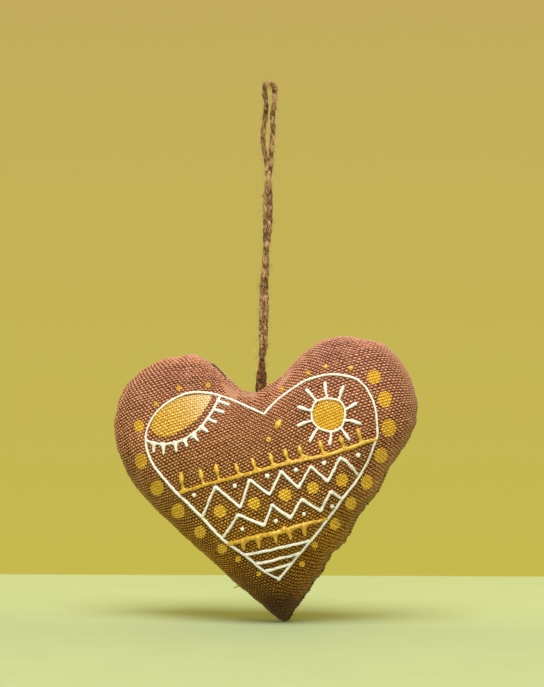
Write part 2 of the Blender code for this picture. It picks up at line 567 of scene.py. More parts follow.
@dataclass(frozen=True)
class ClothFinish:
    """Brown jute cloth with gold paint soaked into it.

    Attributes:
        weave: The cloth's weave.
        yarn_uv: Name of the UV map in yarn numbers.
        gold_edge: Name of the attribute with the distance inside the gold shapes, in millimetres.
        gold_coat: Name of the attribute with the thickness of the gold, from nought to one.
        gold_pale: Name of the attribute with the share of paler paint.
        cream: Colour of that paler paint.
        rim: Name of the attribute with the distance from the seam, in millimetres.
        middling: Weave height that the rim's fuzz evens out to.
        fuzz: Colour of the light that the fuzz along the rim gives back.
        fuzz_and_rim_reflection: Colour mixed in along the rim, from the tip up to the lobes: the fuzz and a
            painted reflection of the surroundings.
        stain_and_bounce_tint: Share of each colour kept by height in millimetres: dye that ran down, and
            painted yellow bounce light.
        gold_bounce_light: Share of each colour of the gold, brighter and yellower lower down as painted bounce
            light from the floor.
        browns: The cloth's colour, from a pore, partly painted shade, to the top of a float, partly a painted
            highlight.
        golds: The gold's colour, from a pore painted in shade to a float top with a painted cream highlight.
    """

    weave: Weave
    yarn_uv: str = "yarns"
    gold_edge: str = "gold"
    gold_coat: str = "gold_coat"
    gold_pale: str = "gold_pale"
    cream: Colour = (1.0, 0.86, 0.60)
    rim: str = "rim"
    middling: float = 0.95
    fuzz: Colour = (0.76, 0.63, 0.46)
    fuzz_and_rim_reflection: tuple[tuple[float, Colour], ...] = (
        (0.00, (0.050, 0.036, 0.010)),
        (0.15, (0.170, 0.165, 0.080)),
        (0.50, (0.200, 0.185, 0.100)),
        (1.00, (0.370, 0.270, 0.245)),
    )
    stain_and_bounce_tint: tuple[tuple[float, Colour], ...] = (
        (-189.0, (0.16, 0.15, 0.004)),
        (-183.0, (0.20, 0.18, 0.005)),
        (-177.0, (0.42, 0.43, 0.012)),
        (-168.0, (0.58, 0.62, 0.030)),
        (-155.0, (0.66, 0.74, 0.070)),
        (-140.0, (0.70, 0.75, 0.330)),
        (-122.0, (0.87, 0.86, 0.750)),
        (-100.0, (0.92, 0.91, 1.130)),
        (-86.0, (0.95, 0.96, 1.400)),
    )
    gold_bounce_light: tuple[tuple[float, Colour], ...] = (
        (-189.0, (1.06, 1.17, 1.10)),
        (-142.0, (1.05, 1.14, 1.12)),
        (-124.0, (1.00, 1.00, 1.00)),
        (-86.0, (1.00, 1.00, 1.00)),
    )
    browns: tuple[tuple[float, Colour], ...] = (
        (0.14, (0.012, 0.003, 0.0005)),
        (0.31, (0.110, 0.027, 0.005)),
        (0.47, (0.480, 0.170, 0.058)),
        (0.66, (0.800, 0.385, 0.215)),
        (0.88, (0.980, 0.720, 0.560)),
    )
    golds: tuple[tuple[float, Colour], ...] = (
        (0.05, (0.190, 0.060, 0.002)),
        (0.27, (0.500, 0.225, 0.009)),
        (0.46, (0.730, 0.390, 0.018)),
        (0.66, (0.910, 0.610, 0.130)),
        (0.86, (1.000, 0.940, 0.660)),
    )

    def material(self) -> bpy.types.Material:
        """Builds the cloth's material.

        Returns:
            The material, which reads the yarn UV map and the panel's attributes.
        """
        recipe = Recipe("woven_jute_cloth")
        yarns = recipe.uv_map(self.yarn_uv)
        warp, weft, _ = recipe.axes(yarns)
        height, weft_on_top = self.weave.shaded_heights(recipe, warp, weft)
        rim = recipe.attribute(self.rim)
        calm = recipe.spread(rim, 2.0, 9.0, 0.45, 0.0)
        height = recipe.maths("MULTIPLY_ADD", recipe.maths("SUBTRACT", self.middling, height), calm, height)
        # Fibres run along the yarn that is on top
        along_weft = recipe.noise(recipe.stretched(yarns, (1.1, 7.0, 1.0)), 1.0, 3.0, 0.6)
        along_warp = recipe.noise(recipe.stretched(yarns, (7.0, 1.3, 1.0)), 1.0, 3.0, 0.6)
        fibres = recipe.blend(weft_on_top, along_warp, along_weft)
        level = self.level(recipe, yarns, height, fibres)
        inside = recipe.attribute(self.gold_edge)
        place = recipe.own_place()
        patches = recipe.noise(place, 55.0, 3.0, 0.6)
        lowest, highest = self.stain_and_bounce_tint[0][0], self.stain_and_bounce_tint[-1][0]
        share = recipe.maths("MULTIPLY_ADD", recipe.axes(place)[2], 1.0 / (highest - lowest) / MILLIMETRE,
                             -lowest / (highest - lowest) - 0.06)
        share = recipe.maths("MULTIPLY_ADD", patches, 0.12, share)
        brown = recipe.ramp(level, self.browns)
        brown = recipe.blend(1.0, brown, recipe.spread(patches, 0.35, 0.70, 0.90, 1.10), "MULTIPLY")
        # Dye that ran down darkens the cloth towards the tip, and the loss of blue lower down is painted yellow
        # bounce light
        brown = recipe.blend(1.0, brown, self.by_height(recipe, share, self.stain_and_bounce_tint), "MULTIPLY")
        # Towards the seam the colour goes over to the fuzz's and to a painted reflection of the surroundings,
        # lightest at the lobes
        fuzz_and_reflection_share = recipe.spread(rim, 0.5, 5.5, 0.32, 0.0)
        brown = recipe.blend(fuzz_and_reflection_share, brown, recipe.ramp(share, self.fuzz_and_rim_reflection))
        gold = self.gold(recipe, level, inside)
        # The gold is painted brighter and yellower lower down, as bounce light from the floor
        gold = recipe.blend(1.0, gold, self.by_height(recipe, share, self.gold_bounce_light), "MULTIPLY")
        painted = self.painted(recipe, yarns, height, inside)
        recipe.uneven_surface(recipe.maths("MULTIPLY_ADD", fibres, 0.30, height), 0.48 * MILLIMETRE)
        return recipe.finished({
            "Base Color": recipe.blend(painted, brown, gold),
            "Roughness": recipe.maths("MULTIPLY_ADD", painted, -0.36, 0.88),
            "Specular IOR Level": 0.25,
            "Sheen Weight": recipe.spread(rim, 3.0, 11.0, 0.30, 0.05),
            "Sheen Tint": opaque(self.fuzz),
            "Sheen Roughness": 0.5,
        })

    def level(self, recipe: Recipe, yarns: object, height: object, fibres: object) -> bpy.types.NodeSocket:
        """Works out how light each place is: yarn and crossing tones, with painted shade in the pores and
        painted light on the floats.

        Args:
            recipe: Material that the nodes go into.
            yarns: Socket of the yarn numbers.
            height: Socket of the weave's height.
            fibres: Socket of the fibres' pattern.

        Returns:
            The socket of the lightness, from nought to one.
        """
        row_tone = recipe.noise(recipe.stretched(yarns, (0.05, 1.3, 1.0)), 1.0, 1.0)
        column_tone = recipe.noise(recipe.stretched(yarns, (1.3, 0.05, 1.0)), 1.0, 1.0)
        crossing_tone = recipe.noise(yarns, 0.85, 1.0)
        tones = recipe.maths("ADD", row_tone, column_tone)
        tones = recipe.maths("MULTIPLY_ADD", crossing_tone, 1.6, recipe.maths("SUBTRACT", tones, 0.8))
        # Height sets lightness: the pores take painted shade and the floats' tops painted light, beside the
        # gaps' own darkness
        level = recipe.maths("MULTIPLY_ADD", height, 0.44, 0.08)
        level = recipe.maths("MULTIPLY_ADD", fibres, 0.34, recipe.maths("SUBTRACT", level, 0.17))
        return recipe.maths("MULTIPLY_ADD", tones, 0.20, recipe.maths("SUBTRACT", level, 0.20))

    def by_height(self, recipe: Recipe, share: object, table: Sequence[tuple[float, Colour]]) -> object:
        """Reads a table of colours by height.

        Args:
            recipe: Material that the nodes go into.
            share: Socket of the height, as a share of the range of the stain and bounce tint.
            table: Heights in millimetres and their colours.

        Returns:
            The colour's socket.
        """
        lowest, highest = self.stain_and_bounce_tint[0][0], self.stain_and_bounce_tint[-1][0]
        stops = [((height - lowest) / (highest - lowest), colour) for height, colour in table]
        return recipe.ramp(share, stops)

    def gold(self, recipe: Recipe, level: object, inside: object) -> bpy.types.NodeSocket:
        """Works out the gold's colour, which hides the weave where the paint is thick.

        Args:
            recipe: Material that the nodes go into.
            level: Socket of the cloth's lightness.
            inside: Socket of the distance inside the gold shapes.

        Returns:
            The colour's socket.
        """
        edges = recipe.spread(inside, 0.75, 0.2, 0.0, 0.45)
        full = recipe.maths("MAXIMUM", recipe.attribute(self.gold_coat), edges)
        filled = recipe.maths("MULTIPLY_ADD", level, 0.25, 0.34)
        change = recipe.maths("MULTIPLY", full, recipe.maths("SUBTRACT", filled, level))
        # The gold's float tops take a painted cream highlight and its pores painted shade
        gold = recipe.ramp(recipe.maths("ADD", level, change), self.golds)
        return recipe.blend(recipe.attribute(self.gold_pale), gold, opaque(self.cream))

    def painted(self, recipe: Recipe, yarns: object, height: object, inside: object) -> bpy.types.NodeSocket:
        """Works out where the gold covers the cloth, with ragged edges and thin places.

        Args:
            recipe: Material that the nodes go into.
            yarns: Socket of the yarn numbers.
            height: Socket of the weave's height.
            inside: Socket of the distance inside the gold shapes.

        Returns:
            The socket of the covered share.
        """
        ragged = recipe.noise(yarns, 1.4, 2.0, 0.6)
        reach = recipe.maths("MULTIPLY_ADD", ragged, 0.9, recipe.maths("SUBTRACT", inside, 0.45))
        reach = recipe.maths("MULTIPLY_ADD", height, 0.22, recipe.maths("SUBTRACT", reach, 0.18))
        thin = recipe.spread(recipe.noise(yarns, 0.8, 3.0, 0.65), 0.30, 0.48, 0.72, 1.0)
        return recipe.maths("MULTIPLY", recipe.spread(reach, -0.04, 0.08), thin)


@dataclass(frozen=True)
class PaintFinish:
    """Thick paint that stands on the cloth in beads.

    Attributes:
        name: Name of the material.
        thin: Colour where the paint is thin.
        full: Colour where it is thick.
        roughness: Its roughness.
        metal: How metallic it is.
    """

    name: str
    thin: Colour
    full: Colour
    roughness: float = 0.55
    metal: float = 0.0

    def material(self) -> bpy.types.Material:
        """Builds the paint's material."""
        recipe = Recipe(self.name)
        place = recipe.own_place()
        uneven = recipe.noise(place, 900.0, 4.0, 0.6)
        recipe.uneven_surface(recipe.noise(place, 1500.0, 3.0, 0.6), 0.12 * MILLIMETRE, 0.8)
        return recipe.finished({
            "Base Color": recipe.ramp(uneven, ((0.30, self.thin), (0.52, self.full), (0.80, self.full))),
            "Roughness": recipe.spread(uneven, 0.3, 0.7, self.roughness - 0.1, self.roughness + 0.1),
            "Metallic": self.metal,
        })


@dataclass(frozen=True)
class TwineFinish:
    """Jute twine, whose fibres wind round its plies.

    Attributes:
        name: Name of the material.
        dark: Colour between fibres.
        middle: Usual colour.
        pale: Colour of the palest fibres.
        seam_end_tone: Share of the colour kept on the twine's lower ends, where they go into the seam.
        darker_below: Height under which it is darker, in metres.
        along_uv: Name of the UV map with the turn round a ply and the length along it, in millimetres.
    """

    name: str = "jute_twine"
    dark: Colour = (0.030, 0.009, 0.001)
    middle: Colour = (0.205, 0.085, 0.018)
    pale: Colour = (0.680, 0.420, 0.210)
    seam_end_tone: Colour = (0.50, 0.33, 0.15)
    darker_below: float = -0.0925
    along_uv: str = "ply"

    def material(self) -> bpy.types.Material:
        """Builds the twine's material."""
        recipe = Recipe(self.name)
        turns, along, _ = recipe.axes(recipe.uv_map(self.along_uv))
        angle = recipe.maths("MULTIPLY", recipe.maths("MULTIPLY_ADD", along, 0.28, turns), FULL_TURN)
        around = recipe.node("ShaderNodeCombineXYZ", {
            0: recipe.maths("COSINE", angle),
            1: recipe.maths("SINE", angle),
            2: recipe.maths("MULTIPLY", along, 0.16),
        })
        fibres = recipe.noise(around.outputs[0], 3.2, 4.0, 0.65)
        place = recipe.own_place()
        patches = recipe.noise(place, 260.0, 3.0, 0.6)
        level = recipe.maths("MULTIPLY_ADD", patches, 1.5, recipe.maths("MULTIPLY_ADD", fibres, 3.0, -1.75))
        colour = recipe.ramp(level, ((0.24, self.dark), (0.50, self.middle), (0.82, self.pale)))
        # The twine is darker towards its ends in the seam, below a wavy height
        edge = recipe.maths("MULTIPLY_ADD", patches, 3.0 * MILLIMETRE, self.darker_below - 1.5 * MILLIMETRE)
        below = recipe.maths("SUBTRACT", edge, recipe.axes(place)[2])
        darker_share = recipe.spread(below, -1.0 * MILLIMETRE, 2.0 * MILLIMETRE)
        colour = recipe.blend(darker_share, colour, recipe.blend(1.0, colour, opaque(self.seam_end_tone), "MULTIPLY"))
        crossed = recipe.maths("MULTIPLY_ADD", along, -0.55, turns)
        across = recipe.node("ShaderNodeCombineXYZ", {
            0: recipe.maths("MULTIPLY", crossed, 3.0),
            1: recipe.maths("MULTIPLY", along, 0.9),
        })
        hairs = recipe.spread(recipe.noise(across.outputs[0], 2.4, 3.0, 0.6), 0.60, 0.68, 0.0, 0.55)
        recipe.uneven_surface(fibres, 0.35 * MILLIMETRE)
        return recipe.finished({
            "Base Color": recipe.blend(hairs, colour, opaque(self.pale)),
            "Roughness": 0.85,
            "Specular IOR Level": 0.3,
        })


@dataclass(frozen=True)
class FibreFinish:
    """Loose fibre or sewing thread.

    Attributes:
        name: Name of the material.
        dark: Darkest tone.
        pale: Palest tone.
        roughness: Its roughness.
    """

    name: str
    dark: Colour
    pale: Colour
    roughness: float = 0.7

    def material(self) -> bpy.types.Material:
        """Builds the fibre's material."""
        recipe = Recipe(self.name)
        tone = recipe.noise(recipe.own_place(), 400.0, 2.0)
        colour = recipe.ramp(tone, ((0.35, self.dark), (0.65, self.pale)))
        return recipe.finished({"Base Color": colour, "Roughness": self.roughness})


@dataclass(frozen=True)
class FloorFinish:
    """Matt pale board.

    Attributes:
        colour: The board's colour.
        back_painted_lighter: Its colour towards the back, painted lighter to even out the light there.
    """

    colour: Colour = (0.33, 0.40, 0.224)
    back_painted_lighter: Colour = (0.366, 0.445, 0.236)

    def material(self) -> bpy.types.Material:
        """Builds the board's material."""
        recipe = Recipe("pale_board")
        place = recipe.own_place()
        grain = recipe.noise(place, 40.0, 3.0)
        # The board is painted lighter towards the back, as light that evens it out
        back = recipe.spread(recipe.axes(place)[1], -0.05, 0.12)
        colour = recipe.blend(back, opaque(self.colour), opaque(self.back_painted_lighter))
        colour = recipe.blend(1.0, colour, recipe.spread(grain, 0.3, 0.7, 0.97, 1.0), "MULTIPLY")
        return recipe.finished({"Base Color": colour, "Roughness": 0.8, "Specular IOR Level": 0.2})


# The heart's stuffed form


class Side(Enum):
    """One of the heart's two panels. The value is the sign of its flat cut's turning direction."""

    FRONT = 1
    BACK = -1


@dataclass
class Skin:
    """One side of the stuffed heart, and the flat cut of cloth that makes it.

    Attributes:
        side: Which side it is.
        points: Vertices in space.
        normals: Outward directions there.
        flat: The same vertices on the flat cut.
        triangles: Vertex numbers of each triangle.
        ring: Vertex numbers round the seam, in order.
        inward: Direction away from the seam's nearest point, in the heart's middle plane.
        seam_distance: Distance from the seam on the flat cut.
        lining_points: Vertices of the coarse inner face.
        lining_faces: Its faces, anticlockwise as seen from outside.
        lining_ring: Its boundary vertices, in the order of ring.
        lining_flat: Its vertices on the flat cut.
    """

    side: Side
    points: np.ndarray
    normals: np.ndarray
    flat: np.ndarray
    triangles: np.ndarray
    ring: np.ndarray
    inward: np.ndarray
    seam_distance: np.ndarray
    lining_points: np.ndarray
    lining_faces: list[list[int]]
    lining_ring: np.ndarray
    lining_flat: np.ndarray

    def look_up(self, spots: np.ndarray) -> tuple[np.ndarray, np.ndarray, np.ndarray]:
        """Finds where spots of the flat cut lie on the skin.

        Args:
            spots: Rows of flat coordinates.

        Returns:
            Each spot's distance outside the cut, its triangle, and its three corner shares.
        """
        level = np.column_stack([self.flat, np.zeros(len(self.flat))])
        tree = BVHTree.FromPolygons(level.tolist(), self.triangles.tolist())
        outside = np.zeros(len(spots))
        found = np.zeros(len(spots), dtype=int)
        nearest = np.zeros((len(spots), 2))
        for index, (first, second) in enumerate(spots.tolist()):
            place, _, triangle, distance = tree.find_nearest((first, second, 0.0))
            outside[index] = distance
            found[index] = triangle
            nearest[index] = place[:2]
        corners = self.flat[self.triangles[found]]
        edge_one = corners[:, 1] - corners[:, 0]
        edge_two = corners[:, 2] - corners[:, 0]
        reach = nearest - corners[:, 0]
        area = edge_one[:, 0] * edge_two[:, 1] - edge_one[:, 1] * edge_two[:, 0]
        share_one = (reach[:, 0] * edge_two[:, 1] - reach[:, 1] * edge_two[:, 0]) / area
        share_two = (edge_one[:, 0] * reach[:, 1] - edge_one[:, 1] * reach[:, 0]) / area
        shares = np.stack([1.0 - share_one - share_two, share_one, share_two], axis=1)
        return outside, found, shares

    def ground(self, lift: float) -> bpy.types.Mesh:
        """Gives a mesh of the skin, raised by a distance, for small parts to stand on."""
        mesh = bpy.data.meshes.new("ground")
        mesh.from_pydata((self.points + self.normals * lift).tolist(), [], self.triangles.tolist())
        return mesh

    def carry(self, values: np.ndarray, found: np.ndarray, shares: np.ndarray) -> np.ndarray:
        """Reads vertex values at looked-up spots.

        Args:
            values: One row or number for each vertex.
            found: Triangle of each spot.
            shares: Corner shares of each spot.

        Returns:
            The values at the spots.
        """
        corners = values[self.triangles[found]]
        if corners.ndim == 2:
            return np.einsum("ij,ij->i", corners, shares)
        return np.einsum("ijk,ij->ik", corners, shares)


@dataclass
class StuffedForm:
    """Finds the stuffed heart's form by a cloth simulation, and the flat cut of each panel.

    Attributes:
        voxel: Mesh size of the simulated skin.
        seam_hold: Distance from the seam within which the cloth is held.
        pressure: Pressure of the filling.
        spare_cloth: Share by which the cloth is wider than the solid's face.
        stiffness: Resistance to stretching.
        bending: Resistance to bending.
        frames: Length of the simulation.
        most_movement: Furthest that a point of the skin may move.
        refinement: Subdivision levels of the skin.
        flatten_rounds: Rounds of flattening.
        lining_depth: Thickness of the cloth.
        pole_reach: Distance from the ribs' meeting point within which the skin is evened.
        pole_fit: How many times further the skin that it is evened to reaches.
        middle: Place in x and z that the fullness is taken about.
        fullness: Angle about the middle, in degrees, and how far the seam bulges there, in millimetres.
    """

    voxel: float = 1.8 * MILLIMETRE
    pole_reach: float = 3.0 * MILLIMETRE
    pole_fit: float = 2.8
    seam_hold: float = 2.2 * MILLIMETRE
    pressure: float = 30.0
    spare_cloth: float = 0.02
    stiffness: float = 15.0
    bending: float = 0.5
    frames: int = 14
    most_movement: float = 1.3 * MILLIMETRE
    refinement: int = 2
    flatten_rounds: int = 40
    lining_depth: float = 1.2 * MILLIMETRE
    middle: tuple[float, float] = (-0.0005, -0.1326)
    fullness: tuple[tuple[float, float], ...] = (
        (0.0, 1.56), (2.5, 1.66), (5.0, 1.91), (7.5, 2.06), (10.0, 1.83), (12.5, 2.14), (15.0, 2.45),
        (25.0, 1.37), (35.0, 0.65), (45.0, 0.73), (53.0, -1.17), (65.0, -1.10), (75.0, -2.00),
        (85.0, 0.23), (95.0, -0.80), (108.0, -0.66), (113.0, -1.30), (116.5, -2.00), (120.0, -1.60),
        (123.5, -2.00), (127.0, -0.58), (130.5, -1.43), (134.0, -0.40), (137.5, 0.01), (141.0, 0.09),
        (144.5, 0.63), (148.0, 0.28), (151.5, 1.15), (155.0, 1.30), (165.0, 1.91), (175.0, 2.35),
        (185.0, 1.93), (195.0, 1.23), (205.0, 0.84), (215.0, 0.58), (225.0, 1.02), (235.0, 0.58),
        (245.0, 0.20), (255.0, -0.21), (262.5, -0.93), (265.0, -0.61), (267.5, -0.88), (270.0, -0.75),
        (272.5, -0.43), (275.0, 0.25), (277.5, 1.45), (280.0, -0.30), (282.5, -0.10), (285.0, -0.03),
        (287.5, 0.31), (290.0, -0.33), (292.5, -0.68), (295.0, 0.42), (297.5, 0.61), (300.0, -0.08),
        (302.5, 0.37), (305.0, -0.55), (307.5, -0.57), (310.0, -0.32), (312.5, -1.07), (315.0, -0.05),
        (317.5, -0.83), (320.0, 0.11), (322.5, -0.29), (325.0, -0.18), (327.5, -0.23), (330.0, -0.49),
        (332.5, 0.16), (335.0, 0.41), (337.5, -0.06), (340.0, 0.51), (342.5, 0.27), (345.0, -0.01),
        (347.5, -0.03), (350.0, -0.07), (352.5, 0.30), (355.0, 0.56), (357.5, 1.09),
    )

    def pressed(self, points: np.ndarray, seam: np.ndarray) -> np.ndarray:
        """Fills the outline out, or lets it in, where the heart is fuller or slacker.

        Args:
            points: Points of the skin.
            seam: Points of its seam.

        Returns:
            How far each point moves.
        """
        offset = points[:, [0, 2]] - self.middle
        edge = seam[:, [0, 2]] - self.middle
        angle = np.degrees(np.arctan2(offset[:, 1], offset[:, 0])) % 360.0
        edge_angle = np.degrees(np.arctan2(edge[:, 1], edge[:, 0])) % 360.0
        order = np.argsort(edge_angle)
        reach = np.interp(angle, edge_angle[order], np.linalg.norm(edge, axis=1)[order], period=360.0)
        table = np.array(self.fullness)
        swell = np.interp(angle, table[:, 0], table[:, 1], period=360.0) * MILLIMETRE
        share = np.clip(np.linalg.norm(offset, axis=1) / reach, 0.0, 1.0) ** 3
        move = unit(offset) * (swell * share)[:, None]
        return np.stack([move[:, 0], np.zeros(len(points)), move[:, 1]], axis=1)

    def solid_mesh(self) -> bpy.types.Mesh:
        """Gives a merged copy of the heart's solid."""
        merged = bmesh.new()
        merged.from_mesh(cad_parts[HEART_NODE].data)
        bmesh.ops.remove_doubles(merged, verts=merged.verts, dist=1e-5)
        mesh = bpy.data.meshes.new("merged_heart")
        merged.to_mesh(mesh)
        merged.free()
        return mesh

    def settled(self, solid: bpy.types.Mesh) -> tuple[BVHTree, np.ndarray, np.ndarray, list[list[int]]]:
        """Lets the filling press the cloth outwards between the held seams.

        Args:
            solid: Merged mesh of the heart's solid.

        Returns:
            A search tree of the skin before, its points, how far each has moved, and its triangles.
        """
        skin = bpy.data.objects.new("settling_skin", solid.copy())
        bpy.context.collection.objects.link(skin)
        remesh = skin.modifiers.new("remesh", "REMESH")
        remesh.mode = "VOXEL"
        remesh.voxel_size = self.voxel
        even = evaluated_mesh(skin)
        skin.modifiers.clear()
        skin.data = even
        even.calc_loop_triangles()
        triangles = [list(triangle.vertices) for triangle in even.loop_triangles]
        before = mesh_points(even)
        after = before
        self.hold_seam(skin, solid)
        cloth = skin.modifiers.new("cloth", "CLOTH")
        settings = cloth.settings
        settings.quality = 6
        settings.mass = 0.01
        settings.air_damping = 1.0
        settings.tension_stiffness = self.stiffness
        settings.compression_stiffness = self.stiffness
        settings.shear_stiffness = self.stiffness / 3.0
        settings.bending_stiffness = self.bending
        settings.use_pressure = True
        settings.uniform_pressure_force = self.pressure
        settings.effector_weights.gravity = 0.0
        settings.vertex_group_mass = "seam"
        settings.shrink_min = -self.spare_cloth
        settings.shrink_max = -self.spare_cloth
        cloth.collision_settings.use_collision = False
        cloth.collision_settings.use_self_collision = False
        cloth.point_cache.frame_start = 1
        cloth.point_cache.frame_end = self.frames
        for step in range(1, self.frames + 1):
            bpy.context.scene.frame_set(step)
        after = mesh_points(evaluated_mesh(skin))
        bpy.context.scene.frame_set(1)
        movement = after - before
        length = np.linalg.norm(movement, axis=1, keepdims=True)
        held = self.most_movement * np.tanh(length / self.most_movement)
        movement = movement * held / np.maximum(length, 1e-9)
        bpy.data.objects.remove(skin)
        return BVHTree.FromPolygons(before.tolist(), triangles), before, movement, triangles

    def hold_seam(self, skin: bpy.types.Object, solid: bpy.types.Mesh) -> None:
        """Puts the skin's vertices by the seam into the held group.

        Args:
            skin: The skin that is simulated.
            solid: Merged mesh, whose seam lies in the middle plane.
        """
        seam = [vertex.co for vertex in solid.vertices if abs(vertex.co.y) < 1e-6]
        near = KDTree(len(seam))
        for index, place in enumerate(seam):
            near.insert(place, index)
        near.balance()
        held = [vertex.index for vertex in skin.data.vertices if near.find(vertex.co)[2] < self.seam_hold]
        skin.vertex_groups.new(name="seam").add(held, 1.0, "REPLACE")

    def half(self, solid: bpy.types.Mesh, side: Side) -> tuple[np.ndarray, np.ndarray]:
        """Cuts one side off the solid.

        Args:
            solid: Merged mesh of the heart.
            side: Side to keep.

        Returns:
            The side's points and its triangles.
        """
        points = mesh_points(solid)
        faces = np.array([list(face.vertices) for face in solid.polygons])
        facing = -points[faces][:, :, 1].mean(axis=1) * side.value
        faces = faces[facing > 0.0]
        used, renumbered = np.unique(faces, return_inverse=True)
        return points[used], renumbered.reshape(-1, 3)

    def flatten(self, points: np.ndarray, triangles: np.ndarray, side: Side) -> np.ndarray:
        """Spreads a curved side flat with as little stretch as it allows.

        Args:
            points: The side's points.
            triangles: Its triangles.
            side: Which side it is.

        Returns:
            Flat coordinates, turned to lie over the side's own x and z.
        """
        corners = points[triangles]
        edge_one = corners[:, 1] - corners[:, 0]
        edge_two = corners[:, 2] - corners[:, 0]
        base = np.linalg.norm(edge_one, axis=1)
        along = np.einsum("ij,ij->i", edge_two, edge_one) / base
        aside = np.linalg.norm(np.cross(edge_one, edge_two), axis=1) / base
        zero = np.zeros_like(base)
        corners = ((zero, zero), (base, zero), (along, side.value * aside))
        shape = np.stack([np.stack(corner, 1) for corner in corners], axis=1)
        count = len(points)
        stiffness = np.zeros((count, count))
        pairs = []
        for corner in range(3):
            first, second = (corner + 1) % 3, (corner + 2) % 3
            one = shape[:, first] - shape[:, corner]
            two = shape[:, second] - shape[:, corner]
            crossing = np.abs(one[:, 0] * two[:, 1] - one[:, 1] * two[:, 0])
            weight = 0.5 * np.einsum("ij,ij->i", one, two) / crossing
            head, tail = triangles[:, first], triangles[:, second]
            np.add.at(stiffness, (head, head), weight)
            np.add.at(stiffness, (tail, tail), weight)
            np.add.at(stiffness, (head, tail), -weight)
            np.add.at(stiffness, (tail, head), -weight)
            pairs.append((head, tail, weight, shape[:, first] - shape[:, second]))
        stiffness[0, 0] += 1.0
        solver = np.linalg.inv(stiffness)
        upright = points[:, [0, 2]]
        flat = upright.copy()
        for _ in range(self.flatten_rounds):
            fit = np.zeros((len(triangles), 2, 2))
            for head, tail, weight, edge in pairs:
                fit += weight[:, None, None] * np.einsum("ij,ik->ijk", flat[head] - flat[tail], edge)
            cosine = fit[:, 0, 0] + fit[:, 1, 1]
            sine = fit[:, 1, 0] - fit[:, 0, 1]
            size = np.maximum(np.hypot(cosine, sine), 1e-12)
            turn = np.stack([np.stack([cosine, -sine], 1), np.stack([sine, cosine], 1)], axis=1)
            turn = turn / size[:, None, None]
            pull = np.zeros((count, 2))
            for head, tail, weight, edge in pairs:
                turned = weight[:, None] * np.einsum("ijk,ik->ij", turn, edge)
                np.add.at(pull, head, turned)
                np.add.at(pull, tail, -turned)
            flat = solver @ pull
        middle = np.abs(points[:, 1]) > 0.6 * np.abs(points[:, 1]).max()
        target = upright[middle] - upright[middle].mean(axis=0)
        source = flat[middle] - flat[middle].mean(axis=0)
        sine = (source[:, 0] * target[:, 1] - source[:, 1] * target[:, 0]).sum()
        cosine = (source * target).sum()
        angle = math.atan2(sine, cosine)
        turned = np.array([[math.cos(angle), math.sin(angle)], [-math.sin(angle), math.cos(angle)]])
        return (flat - flat[middle].mean(axis=0)) @ turned + upright[middle].mean(axis=0)

    def refined(self, points: np.ndarray, faces: Sequence[Sequence[int]]) -> bpy.types.Mesh:
        """Subdivides a side smoothly.

        Args:
            points: The side's points, in space or flat.
            faces: Its faces.

        Returns:
            The finer mesh. Two calls with the same faces give the same order of vertices.
        """
        mesh = bpy.data.meshes.new("refining")
        mesh.from_pydata(points.tolist(), [], faces)
        piece = bpy.data.objects.new("refining", mesh)
        bpy.context.collection.objects.link(piece)
        finer = piece.modifiers.new("finer", "SUBSURF")
        finer.levels = self.refinement
        finer.render_levels = self.refinement
        result = evaluated_mesh(piece)
        bpy.data.objects.remove(piece)
        return result

    def evened(self, values: np.ndarray, offset: np.ndarray) -> np.ndarray:
        """Smooths values where the solid's ribs meet in one point and the skin is pinched.

        Args:
            values: One row for each point.
            offset: Each point's distance from the meeting point in x and z.

        Returns:
            The values, which follow a shallow bowl fitted round that point.
        """
        distance = np.linalg.norm(offset, axis=1)
        first, second = offset.T
        terms = [first**power * second**other for power in range(4) for other in range(4 - power)]
        bowl = np.stack(terms, axis=1)
        around = (distance > self.pole_reach) & (distance < self.pole_fit * self.pole_reach)
        fit = np.linalg.lstsq(bowl[around], values[around], rcond=None)[0]
        share = ease(2.0 - distance / self.pole_reach)[:, None]
        return values + share * (bowl @ fit - values)

    def joined_faces(self, points: np.ndarray, triangles: np.ndarray) -> list[list[int]]:
        """Joins the side's triangles to quads, apart from the fan at its pole."""
        mesh = bpy.data.meshes.new("joining")
        mesh.from_pydata(points.tolist(), [], triangles.tolist())
        joining = bmesh.new()
        joining.from_mesh(mesh)
        ribs = [face for face in joining.faces if all(len(vertex.link_edges) < 20 for vertex in face.verts)]
        bmesh.ops.join_triangles(
            joining, faces=ribs, angle_face_threshold=math.pi, angle_shape_threshold=math.pi
        )
        faces = [[vertex.index for vertex in face.verts] for face in joining.faces]
        joining.free()
        bpy.data.meshes.remove(mesh)
        return faces

